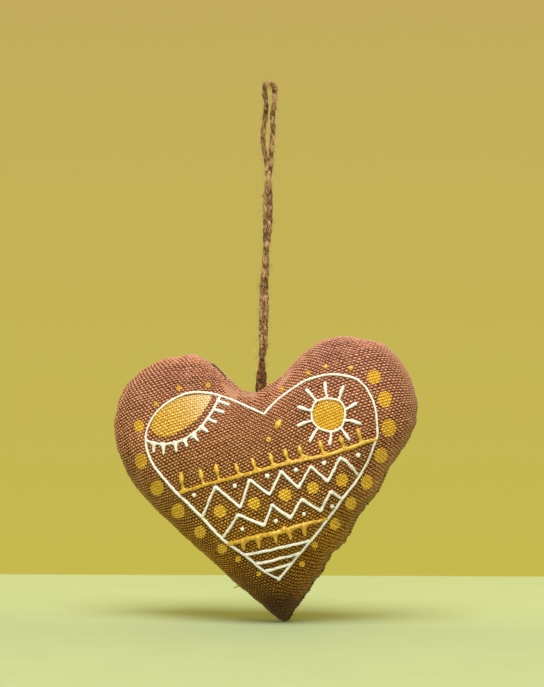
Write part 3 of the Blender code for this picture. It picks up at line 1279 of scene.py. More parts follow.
    def skins(self) -> dict[Side, Skin]:
        """Builds both sides of the stuffed heart."""
        solid = self.solid_mesh()
        tree, before, movement, coarse = self.settled(solid)
        result = {}
        for side in Side:
            points, triangles = self.half(solid, side)
            faces = self.joined_faces(points, triangles)
            flat = self.flatten(points, triangles, side)
            fine = self.refined(points, faces)
            fine_flat = mesh_points(self.refined(np.column_stack([flat, np.zeros(len(flat))]), faces))[:, :2]
            fine_points = mesh_points(fine)
            shift = np.zeros_like(fine_points)
            for index, place in enumerate(fine_points.tolist()):
                near, _, triangle, _ = tree.find_nearest(place)
                corners = coarse[triangle]
                gaps = np.linalg.norm(before[corners] - np.array(near), axis=1)
                shares = 1.0 / np.maximum(gaps, 1e-6)
                shift[index] = (movement[corners] * shares[:, None]).sum(axis=0) / shares.sum()
            fine_points = fine_points + shift
            fine_points = fine_points + self.pressed(fine_points, points[self.boundary(triangles)])
            fine.vertices.foreach_set("co", fine_points.ravel())
            fine.update()
            fine.calc_loop_triangles()
            fine_triangles = np.array([list(triangle.vertices) for triangle in fine.loop_triangles])
            normals = np.zeros(len(fine_points) * 3)
            fine.vertices.foreach_get("normal", normals)
            pole = int(np.bincount(triangles.ravel()).argmax())
            offset = (fine_points - fine_points[pole])[:, [0, 2]]
            fine_flat = self.evened(fine_flat, offset)
            outward = unit(self.evened(normals.reshape(-1, 3), offset))
            fine_points[:, 1] = self.evened(fine_points[:, 1:2], offset)[:, 0]
            ring = self.boundary(fine_triangles)
            seam = fine_points[ring]
            heading = unit(np.roll(seam, -1, axis=0) - np.roll(seam, 1, axis=0))
            across = np.stack([-heading[:, 2], np.zeros(len(ring)), heading[:, 0]], axis=1)
            inward = across * self.turning(seam[:, [0, 2]])
            gaps = np.linalg.norm(fine_flat[:, None, :] - fine_flat[ring][None, :, :], axis=2)
            nearest = gaps.argmin(axis=1)
            result[side] = Skin(
                side=side,
                points=fine_points,
                normals=outward,
                flat=fine_flat,
                triangles=fine_triangles,
                ring=ring,
                inward=inward[nearest],
                seam_distance=gaps.min(axis=1),
                **self.lining(points, triangles, faces, flat, seam),
            )
        return result

    def boundary(self, triangles: np.ndarray) -> np.ndarray:
        """Lists the vertices round an open mesh in order."""
        edges = np.concatenate([triangles[:, [0, 1]], triangles[:, [1, 2]], triangles[:, [2, 0]]])
        known = set(map(tuple, edges.tolist()))
        following = {first: second for first, second in known if (second, first) not in known}
        start = min(following)
        order = [start]
        while following[order[-1]] != start:
            order.append(following[order[-1]])
        return np.array(order)

    def turning(self, outline: np.ndarray) -> float:
        """Gives one for an anticlockwise outline and minus one for a clockwise one."""
        after = np.roll(outline, -1, axis=0)
        return math.copysign(1.0, float((outline[:, 0] * after[:, 1] - outline[:, 1] * after[:, 0]).sum()))

    def lining(self, points: np.ndarray, triangles: np.ndarray, faces: Sequence[Sequence[int]],
               flat: np.ndarray, seam: np.ndarray) -> dict[str, object]:
        """Makes the coarse inner face of a panel, which stops short of the seam.

        Args:
            points: The side's coarse points.
            triangles: Its triangles.
            faces: Its faces with joined quads.
            flat: Its points on the flat cut.
            seam: The fine seam's points in order.

        Returns:
            The lining's fields of a Skin.
        """
        edge = set(self.boundary(triangles).tolist())
        kept = [face for face in faces if not edge.intersection(face)]
        corners = points[triangles]
        facing = np.cross(corners[:, 1] - corners[:, 0], corners[:, 2] - corners[:, 0])
        normals = np.zeros_like(points)
        for corner in range(3):
            np.add.at(normals, triangles[:, corner], facing)
        used = sorted({vertex for face in kept for vertex in face})
        number = {vertex: index for index, vertex in enumerate(used)}
        inner_faces = [[number[vertex] for vertex in face] for face in kept]
        inner = points[used] - unit(normals[used]) * self.lining_depth
        split = []
        for face in inner_faces:
            split.extend([face[0], face[index], face[index + 1]] for index in range(1, len(face) - 1))
        rim = self.boundary(np.array(split))
        start = int(np.linalg.norm(inner[rim] - seam[0], axis=1).argmin())
        return {
            "lining_points": inner,
            "lining_faces": inner_faces,
            "lining_ring": np.roll(rim, -start),
            "lining_flat": flat[used],
        }


# The woven panels


@dataclass
class GoldPaint:
    """Gold paint soaked into the cloth, as shapes in the picture.

    Attributes:
        discs: Column, row, half width and half height of each spot, in pixels.
        lens: Outline of the lens, in pixels.
        most: Furthest distance that is told apart, in millimetres.
        sun_coat: Thickness of the paint in the sun's lower part, from nought to one.
        spot_coat: Thickness of the paint in the round spots.
        lens_start: Place in the picture where the lens's paint is at its deepest.
        lens_end: Place where it is palest.
        palest: Share of paler paint there.
    """

    discs: tuple[tuple[float, float, float, float], ...] = (
        (328.8, 414.5, 15.8, 15.8), (220.0, 511.5, 6.4, 6.4), (254.0, 503.5, 6.2, 6.2),
        (285.0, 495.0, 6.3, 6.2), (313.0, 488.0, 6.0, 6.0), (342.0, 480.0, 6.2, 6.4),
        (139.0, 426.0, 5.4, 6.2), (141.0, 461.0, 6.0, 8.0), (157.0, 488.0, 6.8, 7.8),
        (178.0, 511.0, 6.6, 7.4), (200.0, 532.0, 5.8, 6.2), (222.0, 549.0, 5.0, 5.0),
        (238.0, 559.0, 3.0, 3.2), (259.0, 574.0, 2.6, 2.6), (156.0, 404.0, 2.4, 2.4),
        (179.0, 388.0, 2.7, 2.5), (208.0, 385.0, 2.7, 2.5), (231.0, 394.0, 2.6, 2.3),
        (282.0, 389.0, 2.2, 2.2), (308.0, 373.0, 2.6, 2.3), (326.0, 367.0, 0.1, 0.1),
        (351.0, 368.0, 0.1, 0.1), (374.0, 377.0, 7.0, 7.0), (385.0, 399.0, 7.0, 8.2),
        (389.0, 428.0, 7.6, 9.0), (381.0, 455.5, 6.6, 8.0), (367.0, 482.0, 6.0, 7.2),
        (351.0, 503.5, 5.6, 6.4), (335.0, 524.0, 5.2, 5.8), (315.0, 545.0, 3.2, 3.4),
        (302.0, 564.0, 3.0, 3.2),
    )
    lens: tuple[Pixel, ...] = (
        (150.0, 427.0), (154.0, 418.0), (161.0, 409.0), (170.0, 402.0), (183.0, 396.5), (197.0, 394.5),
        (209.0, 395.0), (211.5, 397.5), (207.0, 406.0), (201.0, 415.0), (193.0, 422.5), (184.0, 429.0),
        (174.0, 434.5), (164.0, 437.0), (155.0, 434.5),
    )
    most: float = 2.5
    sun_coat: float = 0.85
    spot_coat: float = 0.72
    lens_start: Pixel = (150.0, 427.0)
    lens_end: Pixel = (211.0, 396.0)
    palest: float = 0.60

    def pale_at(self, pixels: np.ndarray) -> np.ndarray:
        """Gives the share of paler paint at each pixel, which grows along the lens.

        Args:
            pixels: Rows of a pixel's column and row.

        Returns:
            The share, nought outside the lens.
        """
        reach = np.array(self.lens_end) - self.lens_start
        along = np.clip((pixels - self.lens_start) @ reach / (reach @ reach), 0.0, 1.0)
        return np.where(self.inside_lens(pixels) > -1.0, self.palest * along**3, 0.0)

    def coat_at(self, pixels: np.ndarray) -> np.ndarray:
        """Gives the thickness of the paint at each pixel, thickest low in the sun.

        Args:
            pixels: Rows of a pixel's column and row.

        Returns:
            The thickness, from nought to one.
        """
        coat = np.zeros(len(pixels))
        for index, (column, row, half_width, half_height) in enumerate(self.discs):
            span = np.hypot((pixels[:, 0] - column) / half_width, (pixels[:, 1] - row) / half_height)
            thickness = self.spot_coat
            if index == 0:
                thickness = self.sun_coat * ease((pixels[:, 1] - row) / half_height * 0.8 + 0.75)
            coat = np.maximum(coat, thickness * ease(4.0 * (1.2 - span)))
        return coat

    def inside(self, pixels: np.ndarray, pixel: float) -> np.ndarray:
        """Measures how far inside a gold shape each pixel lies.

        Args:
            pixels: Rows of a pixel's column and row.
            pixel: Size of a pixel.

        Returns:
            The distance in millimetres, below nought outside the shapes.
        """
        deepest = np.full(len(pixels), -1e3)
        for column, row, half_width, half_height in self.discs:
            span = np.hypot((pixels[:, 0] - column) / half_width, (pixels[:, 1] - row) / half_height)
            deepest = np.maximum(deepest, (1.0 - span) * min(half_width, half_height))
        deepest = np.maximum(deepest, self.inside_lens(pixels))
        return np.clip(deepest * pixel / MILLIMETRE, -self.most, self.most)

    def inside_lens(self, pixels: np.ndarray) -> np.ndarray:
        """Measures in pixels how far inside the lens each pixel lies."""
        outline = np.array(self.lens)
        gap = np.full(len(pixels), 1e3)
        crossings = np.zeros(len(pixels), dtype=int)
        for start, end in zip(outline, np.roll(outline, -1, axis=0)):
            edge = end - start
            part = np.clip(((pixels - start) @ edge) / (edge @ edge), 0.0, 1.0)
            gap = np.minimum(gap, np.linalg.norm(pixels - start - part[:, None] * edge, axis=1))
            if start[1] != end[1]:
                spans = (start[1] > pixels[:, 1]) != (end[1] > pixels[:, 1])
                crossing = start[0] + (pixels[:, 1] - start[1]) / edge[1] * edge[0]
                crossings += spans & (pixels[:, 0] < crossing)
        return np.where(crossings % 2 == 1, gap, -gap)


@dataclass
class WovenPanel:
    """One cloth panel of the heart, woven yarn by yarn and tucked into the seam.

    Attributes:
        name: Name of the piece.
        skin: Form that the panel lies on.
        weave: Its weave.
        finish: Its material.
        view: Camera, through which the gold shapes are placed.
        gold: Gold paint on it, or None.
        weft_places: Places across a weft yarn that get a vertex, in yarn numbers.
        warp_pitch: Distance between warp yarns.
        weft_pitch: Distance between weft yarns.
        middle: Place on the flat cut that the slope and bow are taken about.
        slope: Angle by which the weft rises to the right there.
        bow: Turn of the weft for each metre to the right.
        bend: Growth of that turn for each metre to the right.
        skew: How far the warp leans to the right of square, for each metre up.
        relief: Height that a weave height of one stands for.
        sink: Weave height that lies on the form.
        seam_depth: Depth of the groove along the seam.
        seam_reach: Width over which the cloth turns into the groove.
        edge_reach: Distance outside the cut within which a place still counts as on it.
        edge_gap: Distance from the seam that the lattice keeps.
        relief_fade: Distance from the seam over which the relief rises.
        seed: Seed of the yarns' unevenness.
    """

    name: str
    skin: Skin
    weave: Weave
    finish: bpy.types.Material
    view: PhotoView
    gold: GoldPaint | None
    weft_places: tuple[float, ...] = (-0.5, -0.2, 0.2)
    warp_pitch: float = 0.70 * MILLIMETRE
    weft_pitch: float = 0.95 * MILLIMETRE
    middle: tuple[float, float] = (0.0, -0.135)
    slope: float = math.radians(25.7)
    bow: float = -1.2
    bend: float = -80.0
    skew: float = 0.16
    relief: float = 0.42 * MILLIMETRE
    sink: float = 0.95
    seam_depth: float = 0.9 * MILLIMETRE
    seam_reach: float = 1.9 * MILLIMETRE
    edge_reach: float = 0.002 * MILLIMETRE
    edge_gap: float = 0.16 * MILLIMETRE
    relief_fade: float = 0.8 * MILLIMETRE
    seed: int = 5

    def yarn_numbers(self, flat: np.ndarray) -> np.ndarray:
        """Gives the yarn numbers of flat places, without the yarns' own sway."""
        cosine, sine = math.cos(self.slope), math.sin(self.slope)
        right, up = flat[:, 0] - self.middle[0], flat[:, 1] - self.middle[1]
        along = right * cosine + up * sine
        rise = up * cosine - right * sine - self.bowed(along)
        return np.stack([(along - self.skew * rise) / self.warp_pitch, rise / self.weft_pitch], axis=1)

    def bowed(self, along: np.ndarray) -> np.ndarray:
        """Gives how far the weft has risen from its straight line."""
        return 0.5 * self.bow * along**2 + self.bend * along**3 / 3.0

    def flat_places(self, warp: np.ndarray, weft: np.ndarray) -> np.ndarray:
        """Gives the flat places of yarn numbers, with the yarns' sway.

        Args:
            warp: Warp yarn number of each place.
            weft: Weft yarn number of each place.

        Returns:
            Rows of flat coordinates.
        """
        sway_along = Unevenness(self.seed, 20.0, 60.0).at(warp, weft) * 0.30
        by_warp_yarn = Unevenness(self.seed + 1, 2.1, 6.0).at(np.floor(warp + 0.5), weft * 0.12)
        sway_along = sway_along + by_warp_yarn * 0.16
        sway_along = sway_along + Unevenness(self.seed + 7, 1.9, 4.0).at(warp, weft) * 0.10
        sway_up = Unevenness(self.seed + 2, 18.0, 50.0).at(warp, weft) * 0.30
        sway_up = sway_up + Unevenness(self.seed + 3, 2.1, 6.0).at(np.floor(weft + 0.5), warp * 0.12) * 0.13
        sway_up = sway_up + Unevenness(self.seed + 8, 2.3, 5.0).at(warp, weft) * 0.08
        rise = (weft + sway_up) * self.weft_pitch
        along = (warp + sway_along) * self.warp_pitch + self.skew * rise
        rise = rise + self.bowed(along)
        cosine, sine = math.cos(self.slope), math.sin(self.slope)
        right = along * cosine - rise * sine + self.middle[0]
        return np.stack([right, along * sine + rise * cosine + self.middle[1]], axis=1)

    def grid(self) -> tuple[np.ndarray, np.ndarray]:
        """Gives the yarn numbers of the lattice, as two tables."""
        numbers = self.yarn_numbers(self.skin.flat[self.skin.ring])
        low = np.floor(numbers.min(axis=0)) - 2
        high = np.ceil(numbers.max(axis=0)) + 2
        columns = np.arange(low[0], high[0], 0.5)
        rows = np.sort(np.concatenate([np.arange(low[1], high[1]) + place for place in self.weft_places]))
        warp, weft = np.meshgrid(columns, rows)
        return warp, weft

    def rim_faces(self, flat: np.ndarray, quads: np.ndarray, loose: np.ndarray,
                  ring_start: int) -> list[list[int]]:
        """Fills the strip between the lattice's whole cells and the seam.

        Args:
            flat: Flat places of all vertices, the seam's at the end.
            quads: Vertex numbers of the whole cells.
            loose: Vertices inside the cut that no whole cell uses.
            ring_start: Number of the seam's first vertex.

        Returns:
            Triangles of the strip, anticlockwise on the flat cut.
        """
        edges = np.concatenate([quads[:, [0, 1]], quads[:, [1, 2]], quads[:, [2, 3]], quads[:, [3, 0]]])
        known = set(map(tuple, edges.tolist()))
        inner = [(first, second) for first, second in known if (second, first) not in known]
        ring = list(range(ring_start, len(flat)))
        outer = list(zip(ring, ring[1:] + ring[:1]))
        used = sorted({vertex for edge in inner for vertex in edge} | set(loose.tolist()) | set(ring))
        number = {vertex: index for index, vertex in enumerate(used)}
        spots = [Vector(flat[vertex]) for vertex in used]
        fixed = [(number[first], number[second]) for first, second in inner + outer]
        _, _, faces, origins, _, _ = delaunay_2d_cdt(spots, fixed, [], 0, 1e-9)
        level = np.column_stack([flat, np.zeros(len(flat))])
        whole = BVHTree.FromPolygons(level.tolist(), quads.tolist())
        cut = np.column_stack([self.skin.flat, np.zeros(len(self.skin.flat))])
        outline = BVHTree.FromPolygons(cut.tolist(), self.skin.triangles.tolist())
        result = []
        for face in faces:
            corners = [used[origins[vertex][0]] for vertex in face]
            centre = level[corners].mean(axis=0).tolist()
            if outline.find_nearest(centre)[3] < 1e-8 and whole.find_nearest(centre)[3] > 1e-8:
                result.append(corners)
        return result

    def build(self) -> bpy.types.Object:
        """Weaves the panel.

        Returns:
            The finished piece, a closed sheet of cloth.
        """
        skin = self.skin
        warp, weft = self.grid()
        shape = warp.shape
        spots = self.flat_places(warp.ravel(), weft.ravel())
        outside, found, shares = skin.look_up(spots)
        seam_distance = skin.carry(skin.seam_distance, found, shares)
        inside = (outside < self.edge_reach) & (seam_distance > self.edge_gap)
        number = np.full(warp.size, -1)
        number[inside] = np.arange(inside.sum())
        table = number.reshape(shape)
        cell_corners = [table[:-1, :-1], table[:-1, 1:], table[1:, 1:], table[1:, :-1]]
        quads = np.stack(cell_corners, axis=2).reshape(-1, 4)
        quads = quads[(quads >= 0).all(axis=1)]
        chosen = np.flatnonzero(inside)
        found, shares, seam_distance = found[chosen], shares[chosen], seam_distance[chosen]
        yarns = np.stack([warp.ravel(), weft.ravel()], axis=1)[chosen]
        base = skin.carry(skin.points, found, shares)
        normals = unit(skin.carry(skin.normals, found, shares))
        inward = skin.carry(skin.inward, found, shares)
        slub = Unevenness(self.seed + 4, 2.5, 14.0).at(yarns[:, 0] * 0.35, np.floor(yarns[:, 1] + 0.5) * 3.1)
        slub = 1.0 + 0.10 * slub
        height = (self.weave.heights(yarns[:, 0], yarns[:, 1]) * slub - self.sink) * self.relief
        height *= ease(seam_distance / self.relief_fade)
        tuck = np.clip(1.0 - seam_distance / self.seam_reach, 0.0, 1.0) ** 2 * self.seam_depth
        points = base + normals * height[:, None] + inward * tuck[:, None]
        flat = spots[chosen]
        ring_start = len(points)
        ring_points = skin.points[skin.ring] + skin.inward[skin.ring] * self.seam_depth
        points = np.vstack([points, ring_points])
        flat = np.vstack([flat, skin.flat[skin.ring]])
        yarns = np.vstack([yarns, self.yarn_numbers(skin.flat[skin.ring])])
        loose = np.setdiff1d(np.arange(ring_start), quads.ravel())
        faces = quads.tolist() + self.rim_faces(flat, quads, loose, ring_start)
        if skin.side is Side.BACK:
            faces = [face[::-1] for face in faces]
        lining_start = len(points)
        points = np.vstack([points, skin.lining_points])
        yarns = np.vstack([yarns, self.yarn_numbers(skin.lining_flat)])
        faces += [[lining_start + vertex for vertex in face[::-1]] for face in skin.lining_faces]
        faces += self.hem(points, ring_start, lining_start)
        piece = make_piece(self.name, points, faces, self.finish)
        self.mark(piece, yarns, points, seam_distance)
        return piece

    def hem(self, points: np.ndarray, ring_start: int, lining_start: int) -> list[list[int]]:
        """Closes the strip between the seam and the lining.

        Args:
            points: All vertices of the panel.
            ring_start: Number of the seam's first vertex.
            lining_start: Number of the lining's first vertex.

        Returns:
            Triangles that face into the heart.
        """
        outer = [ring_start + index for index in range(len(self.skin.ring))]
        inner = [lining_start + int(vertex) for vertex in self.skin.lining_ring]
        faces = []
        here, there = 0, 0
        while here < len(outer) or there < len(inner):
            outer_now, inner_now = outer[here % len(outer)], inner[there % len(inner)]
            outer_next, inner_next = outer[(here + 1) % len(outer)], inner[(there + 1) % len(inner)]
            by_outer = np.linalg.norm(points[outer_next] - points[inner_now])
            by_inner = np.linalg.norm(points[inner_next] - points[outer_now])
            if there >= len(inner) or (here < len(outer) and by_outer <= by_inner):
                faces.append([outer_next, outer_now, inner_now])
                here += 1
            else:
                faces.append([outer_now, inner_now, inner_next])
                there += 1
        return faces

    def mark(self, piece: bpy.types.Object, yarns: np.ndarray, points: np.ndarray,
             seam_distance: np.ndarray) -> None:
        """Writes the yarn UV map and the attributes for the gold and the rim.

        Args:
            piece: The panel.
            yarns: Yarn numbers of each vertex.
            points: Place of each vertex.
            seam_distance: Distance from the seam of each vertex of the outer face.
        """
        mesh = piece.data
        outer_count = len(seam_distance)
        corners = np.zeros(len(mesh.loops), dtype=int)
        mesh.loops.foreach_get("vertex_index", corners)
        layer = mesh.uv_layers.new(name="yarns")
        layer.data.foreach_set("uv", yarns[corners].ravel())
        carried = {name: np.zeros(len(points)) for name in ("gold", "gold_coat", "gold_pale", "rim")}
        carried["gold"][:] = -GoldPaint.most
        carried["rim"][:outer_count] = seam_distance / MILLIMETRE
        if self.gold is not None:
            pixels = self.view.pixels_of(points[:outer_count])
            carried["gold"][:outer_count] = self.gold.inside(pixels, self.view.pixel)
            carried["gold_coat"][:outer_count] = self.gold.coat_at(pixels)
            carried["gold_pale"][:outer_count] = self.gold.pale_at(pixels)
        for name, values in carried.items():
            mesh.attributes.new(name, "FLOAT", "POINT").data.foreach_set("value", values)


# Painted lines


@dataclass(frozen=True)
class Stroke:
    """One line drawn with a paint tube.

    Attributes:
        points: Points that it goes through, in pixels of the picture.
        width: Its width in pixels.
        closed: Whether it returns to its start.
        cornered: Whether it keeps its corners.
        start_blob: How much thicker its start is.
        end_blob: How much thicker its end is.
        corner_blob: How much thicker its corners are.
        blob_reach: Distance over which it thins again, in pixels.
        swell: Shares of its width at even distances along it.
    """

    points: tuple[Pixel, ...]
    width: float = 3.2
    closed: bool = False
    cornered: bool = False
    start_blob: float = 0.0
    end_blob: float = 0.0
    corner_blob: float = 0.0
    blob_reach: float = 3.0
    swell: tuple[float, ...] = (1.0, 1.0)


@dataclass
class PaintedLines:
    """Raised paint of one colour on the front panel.

    Attributes:
        name: Name of the piece.
        skin: Front of the stuffed heart.
        view: Camera that the lines are placed through.
        finish: The paint's material.
        strokes: Lines.
        dots: Column, row and half width of each dot, in pixels.
        seed: Seed of the lines' unevenness.
        step: Distance between rings of vertices.
        rise: Height of a bead for each metre of its width.
        lift: Height that a bead's sides stand above the form.
        foot: Depth of a bead's foot under the form.
        sides: Number of points on a bead's arc.
        points: Vertices drawn so far.
        faces: Faces drawn so far.
        count: Number of those vertices.
    """

    name: str
    skin: Skin
    view: PhotoView
    finish: bpy.types.Material
    strokes: tuple[Stroke, ...]
    dots: tuple[tuple[float, float, float], ...]
    seed: int
    step: float = 0.33 * MILLIMETRE
    rise: float = 0.46
    lift: float = 0.16 * MILLIMETRE
    foot: float = 0.25 * MILLIMETRE
    sides: int = 7
    points: list[np.ndarray] = field(default_factory=list)
    faces: list[list[int]] = field(default_factory=list)
    count: int = 0

    def cast(self, pixels: np.ndarray) -> tuple[np.ndarray, np.ndarray]:
        """Throws pixels onto the heart's front.

        Args:
            pixels: Rows of a pixel's column and row.

        Returns:
            The place of each and the outward direction there.
        """
        tree = BVHTree.FromPolygons(self.skin.points.tolist(), self.skin.triangles.tolist())
        eye = Vector(self.view.eye())
        places = []
        normals = []
        for ray in self.view.rays(pixels):
            place, _, triangle, _ = tree.ray_cast(eye, Vector(ray))
            if place is None:
                place, _, triangle, _ = tree.find_nearest(eye + Vector(ray) * self.view.distance)
            places.append(list(place))
            normals.append(self.skin.normals[self.skin.triangles[triangle]].mean(axis=0))
        return np.array(places), unit(np.array(normals))

    def add(self, points: np.ndarray, faces: Sequence[Sequence[int]]) -> None:
        """Adds a closed shape to the piece."""
        self.faces.extend([vertex + self.count for vertex in face] for face in faces)
        self.points.append(points)
        self.count += len(points)

    def draw_stroke(self, stroke: Stroke, seed: int) -> None:
        """Sweeps a half-round bead along a stroke.

        Args:
            stroke: Line to draw.
            seed: Seed of its unevenness.
        """
        corners = np.array(stroke.points)
        line = corners if stroke.cornered else rounded_line(corners, stroke.closed)
        spacing = self.step / self.view.pixel
        pixels = softened(even_steps(line, spacing, stroke.closed), 2, stroke.closed)
        wobble = Unevenness(seed, 6.0, 30.0)
        travel = np.arange(len(pixels)) * spacing
        pixels = pixels + 0.28 * np.stack([wobble.at(travel, 3.0), wobble.at(travel, 60.0)], axis=1)
        centres, normals = self.cast(pixels)
        normals = unit(softened(normals, 3, stroke.closed))
        centres = softened(centres, 1, stroke.closed)
        uneven_width = 1.0 + 0.13 * Unevenness(seed + 1, 3.0, 22.0).at(travel, 7.0)
        width = stroke.width * self.view.pixel * uneven_width
        length = travel[-1]
        width = width * np.interp(travel / length, np.linspace(0.0, 1.0, len(stroke.swell)), stroke.swell)
        thicker = [(stroke.start_blob, travel), (stroke.end_blob, length - travel)]
        if stroke.corner_blob:
            places = np.concatenate([[0.0], np.cumsum(np.linalg.norm(np.diff(corners, axis=0), axis=1))])
            thicker += [(stroke.corner_blob, travel - place * length / places[-1]) for place in places[1:-1]]
        for blob, distance in thicker:
            width = width * (1.0 + blob * np.exp(-((distance / stroke.blob_reach) ** 2)))
        if stroke.closed:
            ahead = np.roll(centres, -1, axis=0) - np.roll(centres, 1, axis=0)
        else:
            ahead = np.gradient(centres, axis=0)
            extra = 4
            turn = np.linspace(math.pi / 2.0, 0.0, extra, endpoint=False)
            first, last = unit(ahead[:1]), unit(ahead[-1:])
            before = centres[:1] - first * (np.sin(turn) * width[0] / 2.0)[:, None]
            after = centres[-1:] + last * (np.sin(turn[::-1]) * width[-1] / 2.0)[:, None]
            centres = np.vstack([before, centres, after])
            start_normals = np.repeat(normals[:1], extra, axis=0)
            end_normals = np.repeat(normals[-1:], extra, axis=0)
            normals = np.vstack([start_normals, normals, end_normals])
            ahead = np.vstack([np.repeat(first, extra, axis=0), ahead, np.repeat(last, extra, axis=0)])
            small = np.maximum(np.cos(turn), 0.15)
            width = np.concatenate([width[0] * small, width, width[-1] * small[::-1]])
        aside = unit(np.cross(unit(ahead), normals))
        arc = np.linspace(0.0, math.pi, self.sides)
        rings = []
        for index, angle in enumerate(arc):
            ragged = Unevenness(seed + 10 + index, 2.0, 9.0).at(np.arange(len(width)) * spacing, 0.0)
            ragged = 1.0 + 0.10 * ragged
            out = np.cos(angle) * width / 2.0 * ragged
            up = np.sin(angle) ** 0.8 * width * self.rise + self.lift
            if index in (0, self.sides - 1):
                up = np.full(len(width), -self.foot)
            rings.append(centres + aside * out[:, None] + normals * up[:, None])
        points = np.stack(rings, axis=1).reshape(-1, 3)
        self.add(points, tube_faces(len(width), self.sides, stroke.closed))

    def draw_dot(self, column: float, row: float, half: float, seed: int) -> None:
        """Makes a domed dot.

        Args:
            column: Column of its middle, in pixels.
            row: Row of its middle.
            half: Half its width, in pixels.
            seed: Seed of its unevenness.
        """
        around = 14
        centre, normal = self.cast(np.array([[column, row]]))
        right = unit(np.cross(normal, [[0.0, 0.0, 1.0]]))
        up = np.cross(right, normal)
        angles = np.arange(around) * FULL_TURN / around
        ragged = 1.0 + 0.16 * Unevenness(seed, 1.5, 5.0).at(3.0 * np.cos(angles), 3.0 * np.sin(angles))
        radius = half * self.view.pixel
        rings = []
        for share, height in ((1.0, -self.foot), (1.0, 0.12), (0.86, 0.62), (0.55, 0.92)):
            reach = radius * share * ragged
            level = height if height < 0.0 else self.lift + height * radius * 0.8
            offset = right * (np.cos(angles) * reach)[:, None] + up * (np.sin(angles) * reach)[:, None]
            rings.append(centre + offset + normal * level)
        crest = centre + normal * (self.lift + radius * 0.8)
        points = np.vstack([*rings, crest, centre - normal * self.foot])
        faces = []
        for ring in range(3):
            for index in range(around):
                here, after = ring * around + index, ring * around + (index + 1) % around
                faces.append([here, after, after + around, here + around])
        top = 4 * around
        for index in range(around):
            after = (index + 1) % around
            faces.append([3 * around + index, 3 * around + after, top])
            faces.append([after, index, top + 1])
        self.add(points, [face[::-1] for face in faces])

    def build(self) -> bpy.types.Object:
        """Draws every stroke and dot."""
        for index, stroke in enumerate(self.strokes):
            self.draw_stroke(stroke, self.seed + 40 * index)
        for index, (column, row, half) in enumerate(self.dots):
            self.draw_dot(column, row, half, self.seed + 5000 + index)
        return make_piece(self.name, np.vstack(self.points), self.faces, self.finish)


def frames_along(line: np.ndarray, side: Sequence[float]) -> tuple[np.ndarray, np.ndarray, np.ndarray]:
    """Gives a line's heading at each point, and two directions across it that turn as little as they can.

    Args:
        line: Points of the line.
        side: A direction that is roughly across its start.

    Returns:
        The headings and the two directions, one row for each point.
    """
    ahead = unit(np.gradient(line, axis=0))
    first = np.zeros_like(line)
    across = np.array(side)
    for index, heading in enumerate(ahead):
        across = across - heading * (across @ heading)
        across = across / np.linalg.norm(across)
        first[index] = across
    return ahead, first, np.cross(ahead, first)


def tube_faces(rings: int, sides: int, closed: bool = False) -> list[list[int]]:
    """Joins rings of vertices to a closed tube.

    Args:
        rings: Number of rings.
        sides: Vertices in a ring.
        closed: Whether the last ring joins the first, else both ends get a cap.

    Returns:
        The faces.
    """
    faces = []
    for ring in range(rings if closed else rings - 1):
        here, after = ring * sides, ((ring + 1) % rings) * sides
        for side in range(sides):
            beside = (side + 1) % sides
            faces.append([here + side, here + beside, after + beside, after + side])
    if not closed:
        faces.append(list(range(sides))[::-1])
        faces.append([(rings - 1) * sides + side for side in range(sides)])
    return faces


HEART_LINE: tuple[Pixel, ...] = (
    (264.6, 414.1), (273.4, 404.0), (284.5, 394.6), (304.2, 381.5), (318.2, 376.7), (330.0, 374.7),
    (343.0, 375.3), (350.6, 377.3), (358.1, 380.3), (363.4, 384.7), (368.1, 391.4), (372.5, 400.0),
    (375.5, 409.7), (376.4, 419.1), (377.3, 429.5), (376.7, 438.0), (373.1, 446.8), (367.4, 461.5),
    (357.5, 478.8), (341.8, 499.5), (326.8, 519.9), (310.5, 540.6), (297.1, 556.2), (288.3, 567.5),
    (278.7, 579.2),
)
HEART_LINE_LEFT: tuple[Pixel, ...] = (
    (263.4, 414.0), (248.3, 407.3), (232.5, 400.4), (211.9, 394.0), (197.0, 392.4), (182.9, 394.8),
    (167.7, 402.9), (154.0, 415.8), (146.7, 431.9), (146.5, 445.0), (151.2, 460.4), (161.5, 475.6),
    (178.8, 494.2), (201.5, 516.5), (222.9, 539.1), (243.5, 553.7), (263.6, 570.5), (279.6, 579.1),
)
EYELID: tuple[Pixel, ...] = (
    (146.1, 440.2), (154.0, 442.8), (164.0, 444.0), (178.9, 441.8), (192.5, 434.3), (203.7, 423.8),
    (211.5, 412.7), (217.1, 403.1), (220.1, 396.7),
)
LASHES: tuple[tuple[Pixel, Pixel], ...] = (
    ((154.3, 443.5), (154.2, 451.6)),
    ((163.6, 444.5), (163.8, 453.2)),
    ((175.0, 443.0), (176.6, 450.6)),
    ((184.5, 440.0), (187.0, 446.2)),
    ((193.5, 435.2), (198.0, 440.0)),
    ((201.5, 427.5), (207.5, 431.4)),
    ((208.0, 419.0), (215.5, 422.2)),
    ((214.0, 409.5), (223.0, 412.2)),
    ((218.0, 401.0), (228.0, 405.0)),
)
SUN_LINE: tuple[Pixel, ...] = (
    (345.3, 414.3), (344.4, 420.2), (342.5, 424.9), (340.0, 428.0), (335.8, 430.4), (330.4, 431.4),
    (323.5, 430.0), (318.1, 427.5), (314.2, 423.4), (312.1, 419.8), (311.6, 414.3), (312.6, 408.4),
    (314.1, 404.2), (316.6, 401.4), (321.0, 399.6), (326.9, 398.6), (332.3, 398.7), (338.6, 400.3),
    (342.0, 403.2), (344.6, 408.3),
)
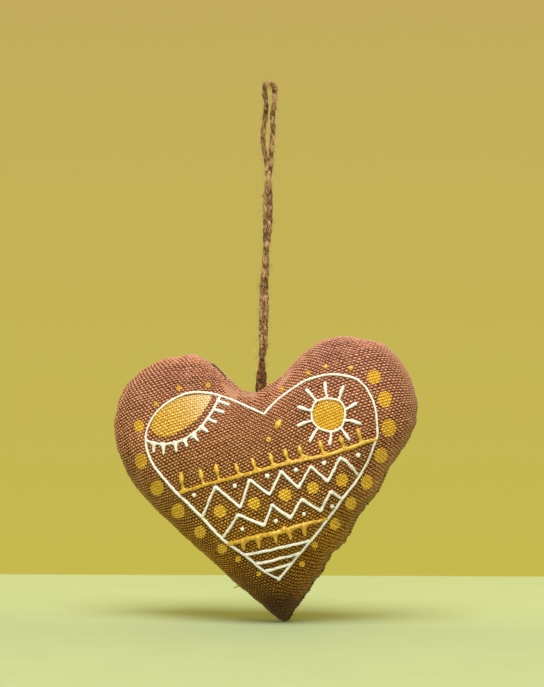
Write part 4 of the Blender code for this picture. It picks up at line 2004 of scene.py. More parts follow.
RAYS: tuple[tuple[Pixel, ...], ...] = (
    ((316.0, 400.4), (311.0, 394.6), (307.2, 390.4)),
    ((327.2, 397.4), (325.8, 391.0), (325.3, 383.6)),
    ((339.3, 398.6), (341.0, 393.0), (343.3, 387.3)),
    ((346.4, 409.0), (351.0, 406.6), (355.6, 403.6)),
    ((346.0, 420.4), (352.0, 420.8), (359.4, 423.2)),
    ((341.6, 429.0), (345.0, 434.0), (349.0, 439.0)),
    ((331.0, 432.6), (331.2, 437.0), (329.9, 443.6)),
    ((317.2, 429.0), (314.2, 433.4), (310.2, 441.2)),
    ((311.2, 421.0), (305.0, 422.6), (298.8, 425.2)),
    ((311.4, 410.8), (305.0, 409.2), (298.8, 407.2)),
)
ZIGZAG_UPPER: tuple[Pixel, ...] = (
    (203.0, 516.0), (215.5, 486.6), (240.8, 507.5), (249.6, 479.4), (269.8, 494.8), (281.2, 471.4),
    (298.5, 487.9), (310.7, 466.2), (327.7, 481.4), (340.2, 457.4), (345.5, 460.4), (351.3, 466.8),
    (357.0, 474.0),
)
ZIGZAG_LOWER: tuple[Pixel, ...] = (
    (223.8, 536.7), (238.5, 514.5), (264.2, 525.6), (272.2, 504.7), (290.4, 518.0), (301.6, 498.9),
    (320.1, 510.7), (330.7, 491.3), (342.2, 498.8),
)
STRIPES: tuple[tuple[Pixel, ...], ...] = (
    ((246.1, 554.6), (263.9, 551.2), (287.8, 545.8), (309.0, 541.1)),
    ((257.1, 563.4), (271.9, 560.5), (285.8, 556.8), (298.8, 553.2)),
    ((266.9, 570.4), (276.8, 568.0), (290.0, 564.0)),
)
WHITE_DOTS: tuple[tuple[float, float, float], ...] = (
    (194.5, 495.0, 2.2), (235.0, 486.0, 2.2), (267.5, 476.0, 2.4), (296.0, 470.0, 2.3),
    (324.0, 463.0, 2.4), (358.0, 455.0, 2.5), (242.5, 529.0, 2.0), (276.0, 521.0, 2.2),
    (304.0, 514.0, 2.0), (332.0, 506.0, 2.1),
)
COMB_UPPER: tuple[Pixel, ...] = (
    (181.5, 492.0), (215.0, 482.1), (246.1, 474.2), (269.3, 468.1), (291.3, 462.3), (327.4, 454.8),
    (344.0, 449.6), (354.0, 446.4), (365.0, 441.9), (375.7, 439.6),
)
TEETH_UPPER: tuple[tuple[Pixel, Pixel], ...] = (
    ((183.5, 491.0), (181.5, 473.5)),
    ((204.0, 485.2), (200.5, 470.5)),
    ((219.5, 480.8), (216.0, 465.5)),
    ((239.5, 475.8), (236.0, 464.5)),
    ((256.0, 471.0), (252.5, 459.5)),
    ((273.5, 466.0), (270.0, 454.5)),
    ((288.5, 461.8), (285.0, 450.0)),
    ((303.0, 458.5), (299.0, 446.5)),
    ((323.5, 453.8), (319.5, 441.5)),
    ((344.0, 447.9), (340.0, 436.5)),
    ((361.5, 443.0), (358.0, 429.5)),
)
# How far the corner on the right of each of those teeth reaches, in pixels
CORNERS_UPPER: tuple[float, ...] = (5.2, 3.4, 2.6, 5.0, 6.5, 4.4, 3.8, 6.0, 4.4, 2.8, 5.2)
COMB_LOWER: tuple[Pixel, ...] = (
    (228.0, 544.0), (251.0, 538.0), (282.0, 531.0), (304.0, 524.0), (327.0, 519.0),
)
TEETH_LOWER: tuple[tuple[Pixel, Pixel], ...] = (
    ((243.0, 541.0), (244.0, 549.0)),
    ((258.0, 537.0), (259.0, 546.5)),
    ((274.5, 533.0), (276.0, 541.5)),
    ((289.0, 529.5), (290.5, 538.5)),
    ((303.5, 525.0), (305.0, 534.5)),
)
GOLD_DOTS: tuple[tuple[float, float, float], ...] = (
    (278.2, 424.8, 3.5), (279.6, 422.2, 2.6), (276.6, 426.8, 2.2), (326.0, 367.0, 2.5),
    (351.0, 368.5, 2.6), (284.0, 529.0, 3.4),
)


def ring(middle: Pixel, radius: float, count: int) -> tuple[Pixel, ...]:
    """Places points round a circle.

    Args:
        middle: Middle of the circle, in pixels.
        radius: Its radius.
        count: Number of points.

    Returns:
        The points in order.
    """
    turns = np.arange(count) * FULL_TURN / count
    return tuple((middle[0] + radius * math.cos(turn), middle[1] + radius * math.sin(turn)) for turn in turns)


def fillets(line: Sequence[Pixel], reach: float, rise: float, width: float,
            sides: Sequence[int]) -> list[Stroke]:
    """Draws the rounded corners where a tooth leaves its line.

    Args:
        line: The tooth's foot and its tip, in pixels.
        reach: How far a corner reaches along the line.
        rise: How far it climbs the tooth.
        width: Width of the paint in it.
        sides: Which sides have one, as -1 and 1.

    Returns:
        One stroke for each side.
    """
    foot, tip = np.array(line)
    out = unit((tip - foot)[None])[0]
    along = np.array([-out[1], out[0]])
    strokes = []
    for side in sides:
        curve = (foot + side * reach * along + 0.3 * out, foot + 0.30 * (side * reach * along + rise * out),
                 foot + rise * out)
        strokes.append(Stroke(tuple(map(tuple, curve)), width, swell=(0.55, 1.2, 0.8)))
    return strokes


def white_strokes() -> tuple[Stroke, ...]:
    """Lists the white lines."""
    strokes = [
        Stroke(HEART_LINE, 2.7, end_blob=0.4, swell=(0.85, 0.82, 0.86, 0.80, 0.88, 0.90, 1.03, 1.02, 0.95)),
        Stroke(HEART_LINE_LEFT, 2.4, end_blob=0.4,
               swell=(1.0, 0.90, 0.90, 0.86, 1.02, 1.30, 1.28, 1.15, 1.0)),
        Stroke(EYELID, 2.4),
        Stroke(SUN_LINE, 2.1, closed=True),
        Stroke(ZIGZAG_UPPER, 2.7, cornered=True, corner_blob=0.42, blob_reach=2.8),
        Stroke(ZIGZAG_LOWER, 2.8, cornered=True, corner_blob=0.42, blob_reach=2.8),
    ]
    strokes += [Stroke(lash, 2.9, swell=(1.5, 1.25, 1.0, 0.90)) for lash in LASHES[:6]]
    for lash in LASHES[:6]:
        strokes += fillets(lash, 3.4, 4.0, 2.0, (-1, 1))
    strokes += [Stroke(lash, 2.9, swell=(1.4, 0.95, 1.05, 1.15)) for lash in LASHES[6:]]
    strokes += [Stroke(stripe, 2.8, start_blob=0.25, end_blob=0.35, blob_reach=3.0) for stripe in STRIPES]
    strokes += [Stroke(ray, 3.3, swell=(0.85, 0.65, 1.0, 1.12, 1.05)) for ray in RAYS]
    return tuple(strokes)


def gold_strokes() -> tuple[Stroke, ...]:
    """Lists the raised gold lines."""
    strokes = [
        Stroke(COMB_UPPER, 3.5, start_blob=0.35, end_blob=0.2,
               swell=(1.1, 0.9, 1.1, 0.95, 1.1, 1.0, 1.15, 1.0)),
        Stroke(COMB_LOWER, 4.4, swell=(0.85, 0.95, 1.05, 1.20, 1.05, 0.95, 0.6)),
    ]
    strokes += [Stroke(tooth, 4.3, swell=(0.95, 0.55, 0.72, 1.10, 1.15, 0.66)) for tooth in TEETH_UPPER]
    strokes += [Stroke(tooth, 4.5, swell=(1.3, 1.2, 1.05, 0.95, 0.85, 0.7)) for tooth in TEETH_LOWER]
    for tooth, reach in zip(TEETH_UPPER, CORNERS_UPPER):
        strokes += fillets(tooth, reach, 0.9 * reach, 2.2, (1,))
        strokes += fillets(tooth, 2.8, 3.2, 1.9, (-1,))
    for tooth in TEETH_LOWER:
        strokes += fillets(tooth, 5.6, 6.2, 2.9, (-1, 1))
    strokes.append(Stroke(ring((268.6, 440.0), 1.9, 8), 2.1, closed=True))
    return tuple(strokes)


# Twine


@dataclass
class TwineLoop:
    """The loop of two-ply jute twine that the heart hangs on.

    Attributes:
        route: The twine's centreline, in millimetres.
        diameter: The twine's thickness.
        step: Distance between rings of vertices.
        ply_offset: Distance from the centreline to a ply's middle.
        ply_radius: Half a ply's thickness.
        matting: Share by which loose fibre makes a ply's surface uneven.
        fluffed: How much thicker the twine is where it comes out of the seam.
        fluffed_below: Height under which it thickens.
        lay_length: Length of one turn of the plies.
        sides: Vertices round a ply.
    """

    route: tuple[tuple[float, float, float], ...] = (
        (-2.4, 0.0, -110.3), (-2.3, 0.0, -106.6), (-2.1, 0.0, -102.7), (-2.3, -0.5, -99.2),
        (-2.6, -0.8, -96.0), (-2.7, -0.9, -93.5), (-2.7, -0.5, -90.3), (-3.0, 0.0, -86.8),
        (-2.95, 0.0, -81.5), (-2.7, 0.0, -76.2), (-2.5, -0.6, -70.9), (-2.2, -0.8, -67.4),
        (-1.7, -0.8, -63.8), (-1.3, -0.8, -60.3), (-0.8, -0.7, -56.7), (-0.3, -0.2, -53.2),
        (0.2, 0.0, -46.1), (0.2, 0.0, -40.8), (0.2, -0.4, -35.5), (-0.3, -0.8, -31.3),
        (-0.7, -0.6, -28.5), (-1.1, 0.0, -26.0), (-2.1, 0.0, -21.4), (-2.4, 0.0, -16.1),
        (-1.7, 0.3, -10.8), (-0.9, -1.5, -6.2), (-0.9, -3.0, -3.0), (-0.7, -3.7, -0.4),
        (-0.3, -2.3, 0.8), (0.0, 0.0, 0.9), (0.5, 2.3, 0.8), (0.9, 3.7, -0.4), (1.1, 3.0, -3.0),
        (1.3, 1.5, -6.2), (1.2, -0.3, -10.8), (1.2, 0.0, -16.1), (0.7, 0.0, -21.4), (0.5, 0.0, -26.0),
        (0.2, 0.6, -28.5), (-0.4, 0.8, -31.3), (-1.0, 0.4, -35.5), (-1.4, 0.0, -40.8),
        (-1.5, 0.0, -46.1), (-1.6, 0.2, -53.2), (-1.5, 0.7, -56.7), (-1.5, 0.8, -60.3),
        (-1.3, 0.8, -63.8), (-1.5, 0.8, -67.4), (-1.5, 0.6, -70.9), (-1.2, 0.0, -76.2),
        (-1.35, 0.0, -81.5), (-1.5, 0.0, -86.8), (-1.6, 0.5, -90.3), (-2.3, 0.9, -93.5),
        (-2.8, 0.8, -96.0), (-3.4, 0.5, -99.2), (-3.8, 0.0, -102.7), (-4.1, 0.0, -106.6),
        (-4.1, 0.0, -110.3),
    )
    diameter: float = 1.8 * MILLIMETRE
    step: float = 0.42 * MILLIMETRE
    ply_offset: float = 0.26 * MILLIMETRE
    ply_radius: float = 0.70 * MILLIMETRE
    matting: float = 0.10
    fluffed: float = 0.22
    fluffed_below: float = -97.0 * MILLIMETRE
    lay_length: float = 8.0 * MILLIMETRE
    sides: int = 11

    def centreline(self) -> np.ndarray:
        """Gives the twine's centreline at even steps."""
        return even_steps(rounded_line(np.array(self.route) * MILLIMETRE, pieces=16), self.step)

    def length(self) -> float:
        """Gives the twine's length."""
        return float(np.linalg.norm(np.diff(self.centreline(), axis=0), axis=1).sum())

    def build(self, finish: bpy.types.Material) -> bpy.types.Object:
        """Twists two plies along the centreline.

        Args:
            finish: The twine's material.

        Returns:
            The finished piece.
        """
        line = self.centreline()
        ahead, first, second = frames_along(line, (1.0, 0.0, 0.0))
        travel = np.arange(len(line)) * self.step
        wander = 0.10 * Unevenness(31, 12.0, 40.0).at(travel / MILLIMETRE)
        lay = FULL_TURN * (travel / self.lay_length + wander)
        points = []
        faces = []
        tangle = np.random.default_rng(37)
        loose = 1.0 + self.fluffed * ease((self.fluffed_below - line[:, 2]) / (5.0 * MILLIMETRE))
        for ply in range(2):
            angle = lay + math.pi * ply
            out = first * np.cos(angle)[:, None] + second * np.sin(angle)[:, None]
            offset = self.ply_offset * (1.0 + 0.10 * Unevenness(33 + ply, 4.0, 18.0).at(travel / MILLIMETRE))
            middle = line + out * offset[:, None]
            across = np.cross(ahead, out)
            swell = loose * (1.0 + 0.11 * Unevenness(35 + ply, 3.0, 14.0).at(travel / MILLIMETRE))
            rough = softened(tangle.normal(0.0, self.matting, (len(line), self.sides)), 1)
            start = ply * len(line) * self.sides
            for index in range(len(line)):
                around = np.arange(self.sides) * FULL_TURN / self.sides
                grooves = 1.0 + 0.07 * np.sin(3.0 * around + travel[index] / MILLIMETRE * 1.9)
                radius = self.ply_radius * swell[index] * (grooves + rough[index])
                points.append(
                    middle[index]
                    + out[index] * (np.cos(around) * radius)[:, None]
                    + across[index] * (np.sin(around) * radius)[:, None]
                )
            faces += [[start + vertex for vertex in face] for face in tube_faces(len(line), self.sides)]
        piece = make_piece("twine_loop", np.vstack(points), faces, finish)
        self.mark(piece, len(line))
        return piece

    def mark(self, piece: bpy.types.Object, rings: int) -> None:
        """Writes the ply UV map, with the turn round a ply and the length in millimetres.

        Args:
            piece: The twine.
            rings: Rings of vertices in a ply.
        """
        mesh = piece.data
        layer = mesh.uv_layers.new(name="ply")
        for face in mesh.polygons:
            sides = [vertex % self.sides for vertex in face.vertices]
            wraps = self.sides - 1 in sides and 0 in sides and len(face.vertices) == 4
            for loop, vertex, side in zip(face.loop_indices, face.vertices, sides):
                turn = self.sides if wraps and side == 0 else side
                along = (vertex // self.sides) % rings
                layer.data[loop].uv = (turn / self.sides, along * self.step / MILLIMETRE)


# Sewing thread


def started_tree(name: str, sizes: Sequence[str]) -> tuple[NodeTree, bpy.types.Node]:
    """Starts a Geometry Nodes tree.

    Args:
        name: Name of the tree.
        sizes: Names of its inputs beside the mesh and the seed.

    Returns:
        The tree to build in, and the node that gives its inputs.
    """
    tree = bpy.data.node_groups.new(name, "GeometryNodeTree")
    tree.interface.new_socket("Geometry", in_out="INPUT", socket_type="NodeSocketGeometry")
    for size in sizes:
        tree.interface.new_socket(size, in_out="INPUT", socket_type="NodeSocketFloat")
    tree.interface.new_socket("Seed", in_out="INPUT", socket_type="NodeSocketInt")
    tree.interface.new_socket("Geometry", in_out="OUTPUT", socket_type="NodeSocketGeometry")
    nodes = NodeTree(tree)
    return nodes, nodes.node("NodeGroupInput")


def swept_thread(nodes: NodeTree, curve: bpy.types.Node, radius: object, sides: int) -> bpy.types.NodeSocket:
    """Sweeps a round thread along a curve.

    Args:
        nodes: Tree to build in.
        curve: Node that gives the curve.
        radius: Socket of half the thread's thickness.
        sides: Number of its sides.

    Returns:
        The socket of its mesh.
    """
    rim = nodes.node("GeometryNodeCurvePrimitiveCircle", {"Resolution": sides, "Radius": radius})
    parts = {"Curve": curve.outputs["Curve"], "Profile Curve": rim.outputs["Curve"], "Fill Caps": True}
    return nodes.node("GeometryNodeCurveToMesh", parts).outputs["Mesh"]


def finished_tree(nodes: NodeTree, placed: dict[str | int, object],
                  material: bpy.types.Material) -> bpy.types.NodeTree:
    """Sets copies on points and ends the tree in a real mesh with its material.

    Args:
        nodes: Tree to build in.
        placed: Inputs of the node that sets the copies.
        material: Their material.

    Returns:
        The finished tree.
    """
    copies = nodes.node("GeometryNodeInstanceOnPoints", placed)
    real = nodes.node("GeometryNodeRealizeInstances", {"Geometry": copies.outputs["Instances"]})
    parts = {"Geometry": real.outputs["Geometry"], "Material": material}
    dressed = nodes.node("GeometryNodeSetMaterial", parts)
    nodes.node("NodeGroupOutput", {"Geometry": dressed.outputs["Geometry"]})
    return nodes.tree


@dataclass
class SeamThread:
    """Dark thread of the seam: stitches that close the filling hole and a loose end, and a dark line drawn
    along the seam where it shows.

    Attributes:
        skin: Front of the stuffed heart, whose ring is the seam.
        view: Camera that the dark seam line and the loose end are placed through.
        finish: The thread's material.
        middle: Place in x and z that the angles are taken about.
        closing: First and last angle of the closed hole, in degrees.
        pitch: Distance between stitches.
        reach: Half the width of a stitch over the edge.
        slant: How far a stitch leans along the edge.
        bulge: How far it stands out.
        thickness: Half the thread's thickness.
        seam_dark_line: Dark line drawn along the seam where it shows from the front, in pixels.
        loose_end: Loose end, in pixels.
        seed: Seed of the stitches' sizes.
    """

    skin: Skin
    view: PhotoView
    finish: bpy.types.Material
    middle: tuple[float, float] = (-0.0005, -0.1326)
    closing: tuple[float, float] = (284.0, 357.0)
    pitch: float = 6.0 * MILLIMETRE
    reach: float = 1.5 * MILLIMETRE
    slant: float = 0.6 * MILLIMETRE
    bulge: float = 0.24 * MILLIMETRE
    thickness: float = 0.17 * MILLIMETRE
    seam_dark_line: tuple[Pixel, ...] = (
        (212.0, 363.9), (215.9, 366.7), (219.2, 370.4), (222.3, 373.8), (226.6, 377.9),
    )
    loose_end: tuple[Pixel, ...] = ((242.5, 587.4), (239.5, 586.0), (236.5, 586.8), (233.6, 588.0))
    seed: int = 4

    def edge_places(self) -> tuple[np.ndarray, np.ndarray, np.ndarray]:
        """Gives the stitches' places on the edge, with the outward direction and the direction along it."""
        edge = even_steps(self.skin.points[self.skin.ring], self.pitch, closed=True)
        after = np.roll(edge, -1, axis=0) - np.roll(edge, 1, axis=0)
        along = unit(after)
        away = edge[:, [0, 2]] - self.middle
        outward = np.stack([along[:, 2], np.zeros(len(edge)), -along[:, 0]], axis=1)
        outward *= np.sign(outward[:, 0] * away[:, 0] + outward[:, 2] * away[:, 1])[:, None]
        angle = np.degrees(np.arctan2(away[:, 1], away[:, 0])) % 360.0
        kept = (angle > self.closing[0]) & (angle < self.closing[1])
        return edge[kept], outward[kept], along[kept]

    def stitch_tree(self) -> bpy.types.GeometryNodeTree:
        """Builds the tree that sets a stitch on each place.

        Returns:
            The tree, whose inputs are named for the stitch's sizes.
        """
        nodes, given = started_tree("edge_stitches", ("Reach", "Slant", "Bulge", "Radius"))
        corners = {}
        for name, turn, rise in (("Start", -1.0, -0.6), ("Middle", 0.0, 2.0), ("End", 1.0, -0.6)):
            parts = {}
            for axis, share, source in ((0, turn, "Slant"), (1, turn, "Reach"), (2, rise, "Bulge")):
                factors = {0: given.outputs[source], 1: share}
                parts[axis] = nodes.node("ShaderNodeMath", factors, operation="MULTIPLY").outputs[0]
            corners[name] = nodes.node("ShaderNodeCombineXYZ", parts).outputs[0]
        arc = nodes.node("GeometryNodeCurveQuadraticBezier", {"Resolution": 5, **corners})
        directions = []
        for name in ("outward", "along"):
            carried = nodes.node("GeometryNodeInputNamedAttribute", {"Name": name}, data_type="FLOAT_VECTOR")
            directions.append(carried.outputs["Attribute"])
        upright = nodes.node("FunctionNodeAlignRotationToVector", {"Vector": directions[0]}, axis="Z")
        facing = {"Rotation": upright.outputs[0], "Vector": directions[1]}
        turned = nodes.node("FunctionNodeAlignRotationToVector", facing, axis="X", pivot_axis="Z")
        range_of_sizes = {2: 0.85, 3: 1.2, "Seed": given.outputs["Seed"]}
        size = nodes.node("FunctionNodeRandomValue", range_of_sizes, data_type="FLOAT")
        placed = {
            "Points": given.outputs["Geometry"],
            "Instance": swept_thread(nodes, arc, given.outputs["Radius"], 5),
            "Rotation": turned.outputs[0],
            "Scale": size.outputs[1],
        }
        return finished_tree(nodes, placed, self.finish)

    def stitches(self) -> bpy.types.Object:
        """Sews the closing stitches over the edge."""
        places, outward, along = self.edge_places()
        ground = bpy.data.meshes.new("closing_stitches")
        ground.from_pydata(places.tolist(), [], [])
        for name, rows in (("outward", outward), ("along", along)):
            ground.attributes.new(name, "FLOAT_VECTOR", "POINT").data.foreach_set("vector", rows.ravel())
        piece = bpy.data.objects.new("closing_stitches", ground)
        bpy.context.collection.objects.link(piece)
        modifier = piece.modifiers.new("stitches", "NODES")
        modifier.node_group = self.stitch_tree()
        sizes = {
            "Reach": self.reach,
            "Slant": self.slant,
            "Bulge": self.bulge,
            "Radius": self.thickness,
            "Seed": self.seed,
        }
        return bake_nodes(piece, modifier, sizes)

    def end(self) -> bpy.types.Object:
        """Makes the loose end, which lies in the heart's middle plane."""
        rays = self.view.rays(np.array(self.loose_end))
        eye = self.view.eye()
        corners = eye + rays * (-eye[1] / rays[:, 1])[:, None]
        line = even_steps(rounded_line(corners), 0.25 * MILLIMETRE)
        _, first, second = frames_along(line, (0.0, 1.0, 0.0))
        sides = 6
        turns = np.arange(sides) * FULL_TURN / sides
        radius = np.linspace(1.3, 0.8, len(line)) * self.thickness
        cosines, sines = np.cos(turns)[None, :, None], np.sin(turns)[None, :, None]
        ring_points = first[:, None] * cosines + second[:, None] * sines
        points = (line[:, None] + ring_points * radius[:, None, None]).reshape(-1, 3)
        return make_piece("loose_thread_end", points, tube_faces(len(line), sides), self.finish)

    def build(self) -> list[bpy.types.Object]:
        """Builds the stitches, the dark seam line and the loose end."""
        # A thin dark bead is drawn along the seam where it shows on the left lobe's inner slope
        seam_line_stroke = Stroke(self.seam_dark_line, 1.1)
        length = PaintedLines("dark_seam_line", self.skin, self.view, self.finish, (seam_line_stroke,), (), 12000)
        return [self.stitches(), length.build(), self.end()]


# Repeated small parts


@dataclass(frozen=True)
class FibreScatter:
    """Short curved fibres on a surface, made by a Geometry Nodes tree.

    Attributes:
        density: Fibres on a square metre.
        length: A fibre's length.
        radius: Half its thickness.
        lean: Furthest tilt from upright.
        smallest: Smallest scale of a fibre.
        largest: Largest scale.
        seed: Seed of their places and turns.
    """

    density: float
    length: float
    radius: float
    lean: float
    smallest: float
    largest: float
    seed: int

    def tree(self, material: bpy.types.Material) -> bpy.types.GeometryNodeTree:
        """Builds the tree that scatters the fibres.

        Args:
            material: The fibres' material.

        Returns:
            The tree, whose inputs are named for the fibres' sizes.
        """
        names = ("Density", "Length", "Radius", "Lean", "Smallest", "Largest")
        nodes, given = started_tree("scattered_fibres", names)
        seed = given.outputs["Seed"]
        spread_out = {"Mesh": given.outputs["Geometry"], "Density": given.outputs["Density"], "Seed": seed}
        places = nodes.node("GeometryNodeDistributePointsOnFaces", spread_out)
        corners = {"Resolution": 4, "Start": (0.0, 0.0, 0.0)}
        for name, share in (("Middle", (0.05, 0.0, 0.6)), ("End", (0.55, 0.1, 0.8))):
            parts = {0: share, "Scale": given.outputs["Length"]}
            corners[name] = nodes.node("ShaderNodeVectorMath", parts, operation="SCALE").outputs[0]
        bow = nodes.node("GeometryNodeCurveQuadraticBezier", corners)
        lean = given.outputs["Lean"]
        backwards = nodes.node("ShaderNodeMath", {0: lean, 1: -1.0}, operation="MULTIPLY").outputs[0]
        lowest = nodes.node("ShaderNodeCombineXYZ", {0: backwards, 1: backwards, 2: -math.pi})
        highest = nodes.node("ShaderNodeCombineXYZ", {0: lean, 1: lean, 2: math.pi})
        tilts = {0: lowest.outputs[0], 1: highest.outputs[0], "Seed": seed}
        tilt = nodes.node("FunctionNodeRandomValue", tilts, data_type="FLOAT_VECTOR")
        scales = {2: given.outputs["Smallest"], 3: given.outputs["Largest"], "Seed": seed}
        size = nodes.node("FunctionNodeRandomValue", scales, data_type="FLOAT")
        turns = {0: places.outputs["Rotation"], 1: tilt.outputs[0]}
        placed = {
            "Points": places.outputs["Points"],
            "Instance": swept_thread(nodes, bow, given.outputs["Radius"], 3),
            "Rotation": nodes.node("FunctionNodeRotateRotation", turns, rotation_space="LOCAL").outputs[0],
            "Scale": size.outputs[1],
        }
        return finished_tree(nodes, placed, material)

    def build(self, name: str, ground: bpy.types.Mesh, material: bpy.types.Material) -> bpy.types.Object:
        """Scatters the fibres and makes them a plain mesh.

        Args:
            name: Name of the piece.
            ground: Mesh that they grow on.
            material: Their material.

        Returns:
            The finished piece.
        """
        piece = bpy.data.objects.new(name, ground.copy())
        bpy.context.collection.objects.link(piece)
        modifier = piece.modifiers.new("fibres", "NODES")
        tree = self.tree(material)
        sizes = {
            "Density": self.density,
            "Length": self.length,
            "Radius": self.radius,
            "Lean": self.lean,
            "Smallest": self.smallest,
            "Largest": self.largest,
            "Seed": self.seed,
        }
        modifier.node_group = tree
        return bake_nodes(piece, modifier, sizes)


def bake_nodes(piece: bpy.types.Object, modifier: bpy.types.NodesModifier,
               sizes: dict[str, object]) -> bpy.types.Object:
    """Sets a Geometry Nodes modifier's inputs and turns its result into the piece's plain mesh.

    Args:
        piece: Object that carries the modifier.
        modifier: The modifier, with its tree.
        sizes: Values by input name.

    Returns:
        The piece, without the modifier.
    """
    for item in modifier.node_group.interface.items_tree:
        if item.item_type == "SOCKET" and item.in_out == "INPUT" and item.name in sizes:
            modifier[item.identifier] = sizes[item.name]
    mesh = evaluated_mesh(piece)
    piece.modifiers.clear()
    piece.data = mesh
    mesh.name = piece.name
    return piece


# Studio


@dataclass(frozen=True)
class Lamp:
    """A square soft light.

    Attributes:
        name: Its name.
        place: Where it stands, by its distance right, behind and above.
        size: Its side.
        power: Its power in watts.
        colour: Its colour.
    """

    name: str
    place: tuple[float, float, float]
    size: float
    power: float
    colour: Colour


@dataclass
class Studio:
    """Plain floor, soft light and a plain background, which stand square to the camera.

    Attributes:
        view: The camera.
        floor_height: Height of the floor.
        floor_back: How far the floor reaches behind the heart.
        floor_turn: How much nearer its back edge comes for each metre to the right.
        floor_front: How far it reaches in front.
        floor_half: Half its width.
        backdrop_low: Background colour by the floor.
        backdrop_high: Background colour above the heart.
        surround: Colour of the light that the room gives back.
        surround_strength: Brightness of that light.
        backdrop_glow: Brightness of the lit background as a light, where one is what the camera sees.
        fade: Heights of a ray between which the background goes from its low to its high colour.
        behind: Share of a ray's way backwards between which the dim room gives way to the background.
        lit_point: Point that the lights face.
        lamps: The lights.
    """

    view: PhotoView
    floor_height: float = -188.2 * MILLIMETRE
    floor_back: float = 0.1968
    floor_turn: float = 0.0525
    floor_front: float = 0.9
    floor_half: float = 1.2
    backdrop_low: Colour = (0.565, 0.491, 0.076)
    backdrop_high: Colour = (0.545, 0.418, 0.108)
    surround: Colour = (0.60, 0.60, 0.05)
    surround_strength: float = 0.12
    backdrop_glow: float = 2.4
    fade: tuple[float, float] = (-0.081, 0.114)
    behind: tuple[float, float] = (-0.1, 0.3)
    lit_point: tuple[float, float, float] = (0.0, 0.0, -0.14)
    lamps: tuple[Lamp, ...] = (
        Lamp("soft_box", (-0.04, -1.30, 2.56), 2.00, 131.0, (1.0, 0.98, 0.96)),
        Lamp("front_light", (-0.14, -1.30, 0.02), 0.50, 9.0, (1.0, 0.99, 0.97)),
    )

    def squared(self, places: np.ndarray) -> np.ndarray:
        """Turns places given by their distance right, behind and above into the scene."""
        right, _, forward = self.view.axes()
        return places[:, :1] * right + places[:, 1:2] * forward + places[:, 2:] * np.array([0.0, 0.0, 1.0])

    def lay_floor(self) -> None:
        """Makes the floor board."""
        half, slant = self.floor_half, self.floor_turn * self.floor_half
        edges = (
            (-half, -self.floor_front),
            (half, -self.floor_front),
            (half, self.floor_back - slant),
            (-half, self.floor_back + slant),
        )
        corners = self.squared(np.array([[right, behind, self.floor_height] for right, behind in edges]))
        make_piece("floor_board", corners, [[0, 1, 2, 3]], FloorFinish().material(), smooth=False)

    def light(self, lamp: Lamp) -> None:
        """Hangs up one light."""
        data = bpy.data.lights.new(lamp.name, "AREA")
        data.shape = "SQUARE"
        data.size = lamp.size
        data.energy = lamp.power
        data.color = lamp.colour
        hung = bpy.data.objects.new(lamp.name, data)
        hung.location = self.squared(np.array([lamp.place]))[0]
        hung.rotation_euler = (Vector(self.lit_point) - hung.location).to_track_quat("-Z", "Y").to_euler()
        bpy.context.collection.objects.link(hung)

    def fill_background(self) -> None:
        """Gives the world its plain background, which lights from behind, and a dim room in front."""
        world = bpy.data.worlds.new("plain_background")
        world.use_nodes = True
        nodes = NodeTree(world.node_tree)
        room = world.node_tree.nodes["Background"]
        nodes.feed(room.inputs[0], opaque(self.surround))
        nodes.feed(room.inputs[1], self.surround_strength)
        heading = nodes.node("ShaderNodeTexCoord").outputs["Generated"]
        rise = nodes.node("ShaderNodeSeparateXYZ", {0: heading}).outputs[2]
        fade = nodes.node("ShaderNodeMapRange", {0: rise, 1: self.fade[0], 2: self.fade[1]})
        colours = {0: fade.outputs[0], 6: opaque(self.backdrop_low), 7: opaque(self.backdrop_high)}
        tint = nodes.node("ShaderNodeMix", colours, data_type="RGBA")
        seen = nodes.node("ShaderNodeLightPath").outputs["Is Camera Ray"]
        glow = nodes.node("ShaderNodeMapRange", {0: seen, 3: self.backdrop_glow, 4: 1.0})
        wall = nodes.node("ShaderNodeBackground", {0: tint.outputs[2], 1: glow.outputs[0]})
        forward = {0: heading, 1: self.view.axes()[2]}
        ahead = nodes.node("ShaderNodeVectorMath", forward, operation="DOT_PRODUCT").outputs["Value"]
        behind = nodes.node("ShaderNodeMapRange", {0: ahead, 1: self.behind[0], 2: self.behind[1]})
        share = nodes.node("ShaderNodeMath", {0: seen, 1: behind.outputs[0]}, operation="MAXIMUM")
        both = {0: share.outputs[0], 1: room.outputs[0], 2: wall.outputs[0]}
        choice = nodes.node("ShaderNodeMixShader", both)
        nodes.feed(world.node_tree.nodes["World Output"].inputs[0], choice.outputs[0])
        bpy.context.scene.world = world

    def build(self) -> None:
        """Sets up the studio."""
        self.lay_floor()
        self.fill_background()
        for lamp in self.lamps:
            self.light(lamp)
        bpy.context.scene.view_settings.view_transform = "Standard"


# The whole ornament

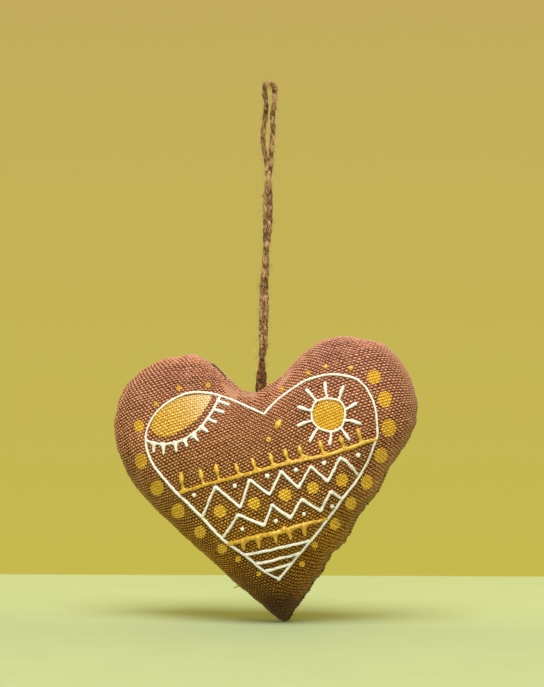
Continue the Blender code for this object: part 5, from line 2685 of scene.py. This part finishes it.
JUTE_FIBRE = FibreFinish("jute_fibre", (0.20, 0.10, 0.035), (0.66, 0.46, 0.24))
PALE_FIBRE = FibreFinish("pale_fibre", (0.34, 0.19, 0.07), (0.82, 0.66, 0.40))
PALE_LINT = FibreFinish("pale_lint", (0.50, 0.38, 0.24), (0.90, 0.82, 0.66))
DARK_THREAD = FibreFinish("dark_thread", (0.050, 0.020, 0.009), (0.140, 0.065, 0.030))
WHITE_PAINT = PaintFinish("white_paint", (0.60, 0.58, 0.48), (0.75, 0.735, 0.655))
GOLD_PAINT = PaintFinish("gold_paint", (0.43, 0.20, 0.009), (0.63, 0.375, 0.038), 0.30, 0.1)
TWINE_FUZZ = FibreScatter(1.3e6, 1.7 * MILLIMETRE, 0.020 * MILLIMETRE, 1.35, 0.4, 1.7, 3)
LOOSE_FIBRES = FibreScatter(7.0e4, 3.6 * MILLIMETRE, 0.032 * MILLIMETRE, 1.2, 0.4, 1.2, 8)
LINT = FibreScatter(7.0e3, 1.8 * MILLIMETRE, 0.022 * MILLIMETRE, 1.5, 0.4, 1.2, 12)
LINT_LIFT = 0.25 * MILLIMETRE


def main() -> None:
    """Builds every piece of the ornament and its studio."""
    logging.basicConfig(level=logging.INFO, format="%(message)s")
    view = PhotoView()
    view.place()
    twine = TwineLoop()
    twine_piece = twine.build(TwineFinish().material())
    twine_fuzz = TWINE_FUZZ.build("twine_fuzz", twine_piece.data, JUTE_FIBRE.material())
    loose_fibres = LOOSE_FIBRES.build("loose_fibres", twine_piece.data, PALE_FIBRE.material())
    for piece in (twine_piece, twine_fuzz, loose_fibres):
        attach(piece, LOOP_NODE)
    twine.length()
    skins = StuffedForm().skins()
    weave = Weave()
    cloth = ClothFinish(weave).material()
    front = WovenPanel("front_panel", skins[Side.FRONT], weave, cloth, view, GoldPaint()).build()
    back = WovenPanel(
        "back_panel", skins[Side.BACK], weave, cloth, view, None, weft_places=(-0.5, 0.0)
    ).build()
    for panel in (front, back):
        attach(panel, HEART_NODE)
    white = WHITE_PAINT.material()
    gold = GOLD_PAINT.material()
    front_skin = skins[Side.FRONT]
    for lines in (
        PaintedLines("white_lines", front_skin, view, white, white_strokes(), WHITE_DOTS, 100),
        PaintedLines("gold_lines", front_skin, view, gold, gold_strokes(), GOLD_DOTS, 7000),
    ):
        attach(lines.build(), HEART_NODE)
    thread = DARK_THREAD.material()
    lint = LINT.build("lint", front_skin.ground(LINT_LIFT), PALE_LINT.material())
    for piece in (*SeamThread(front_skin, view, thread).build(), lint):
        attach(piece, HEART_NODE)
    Studio(view).build()


if __name__ == "__main__":
    main()
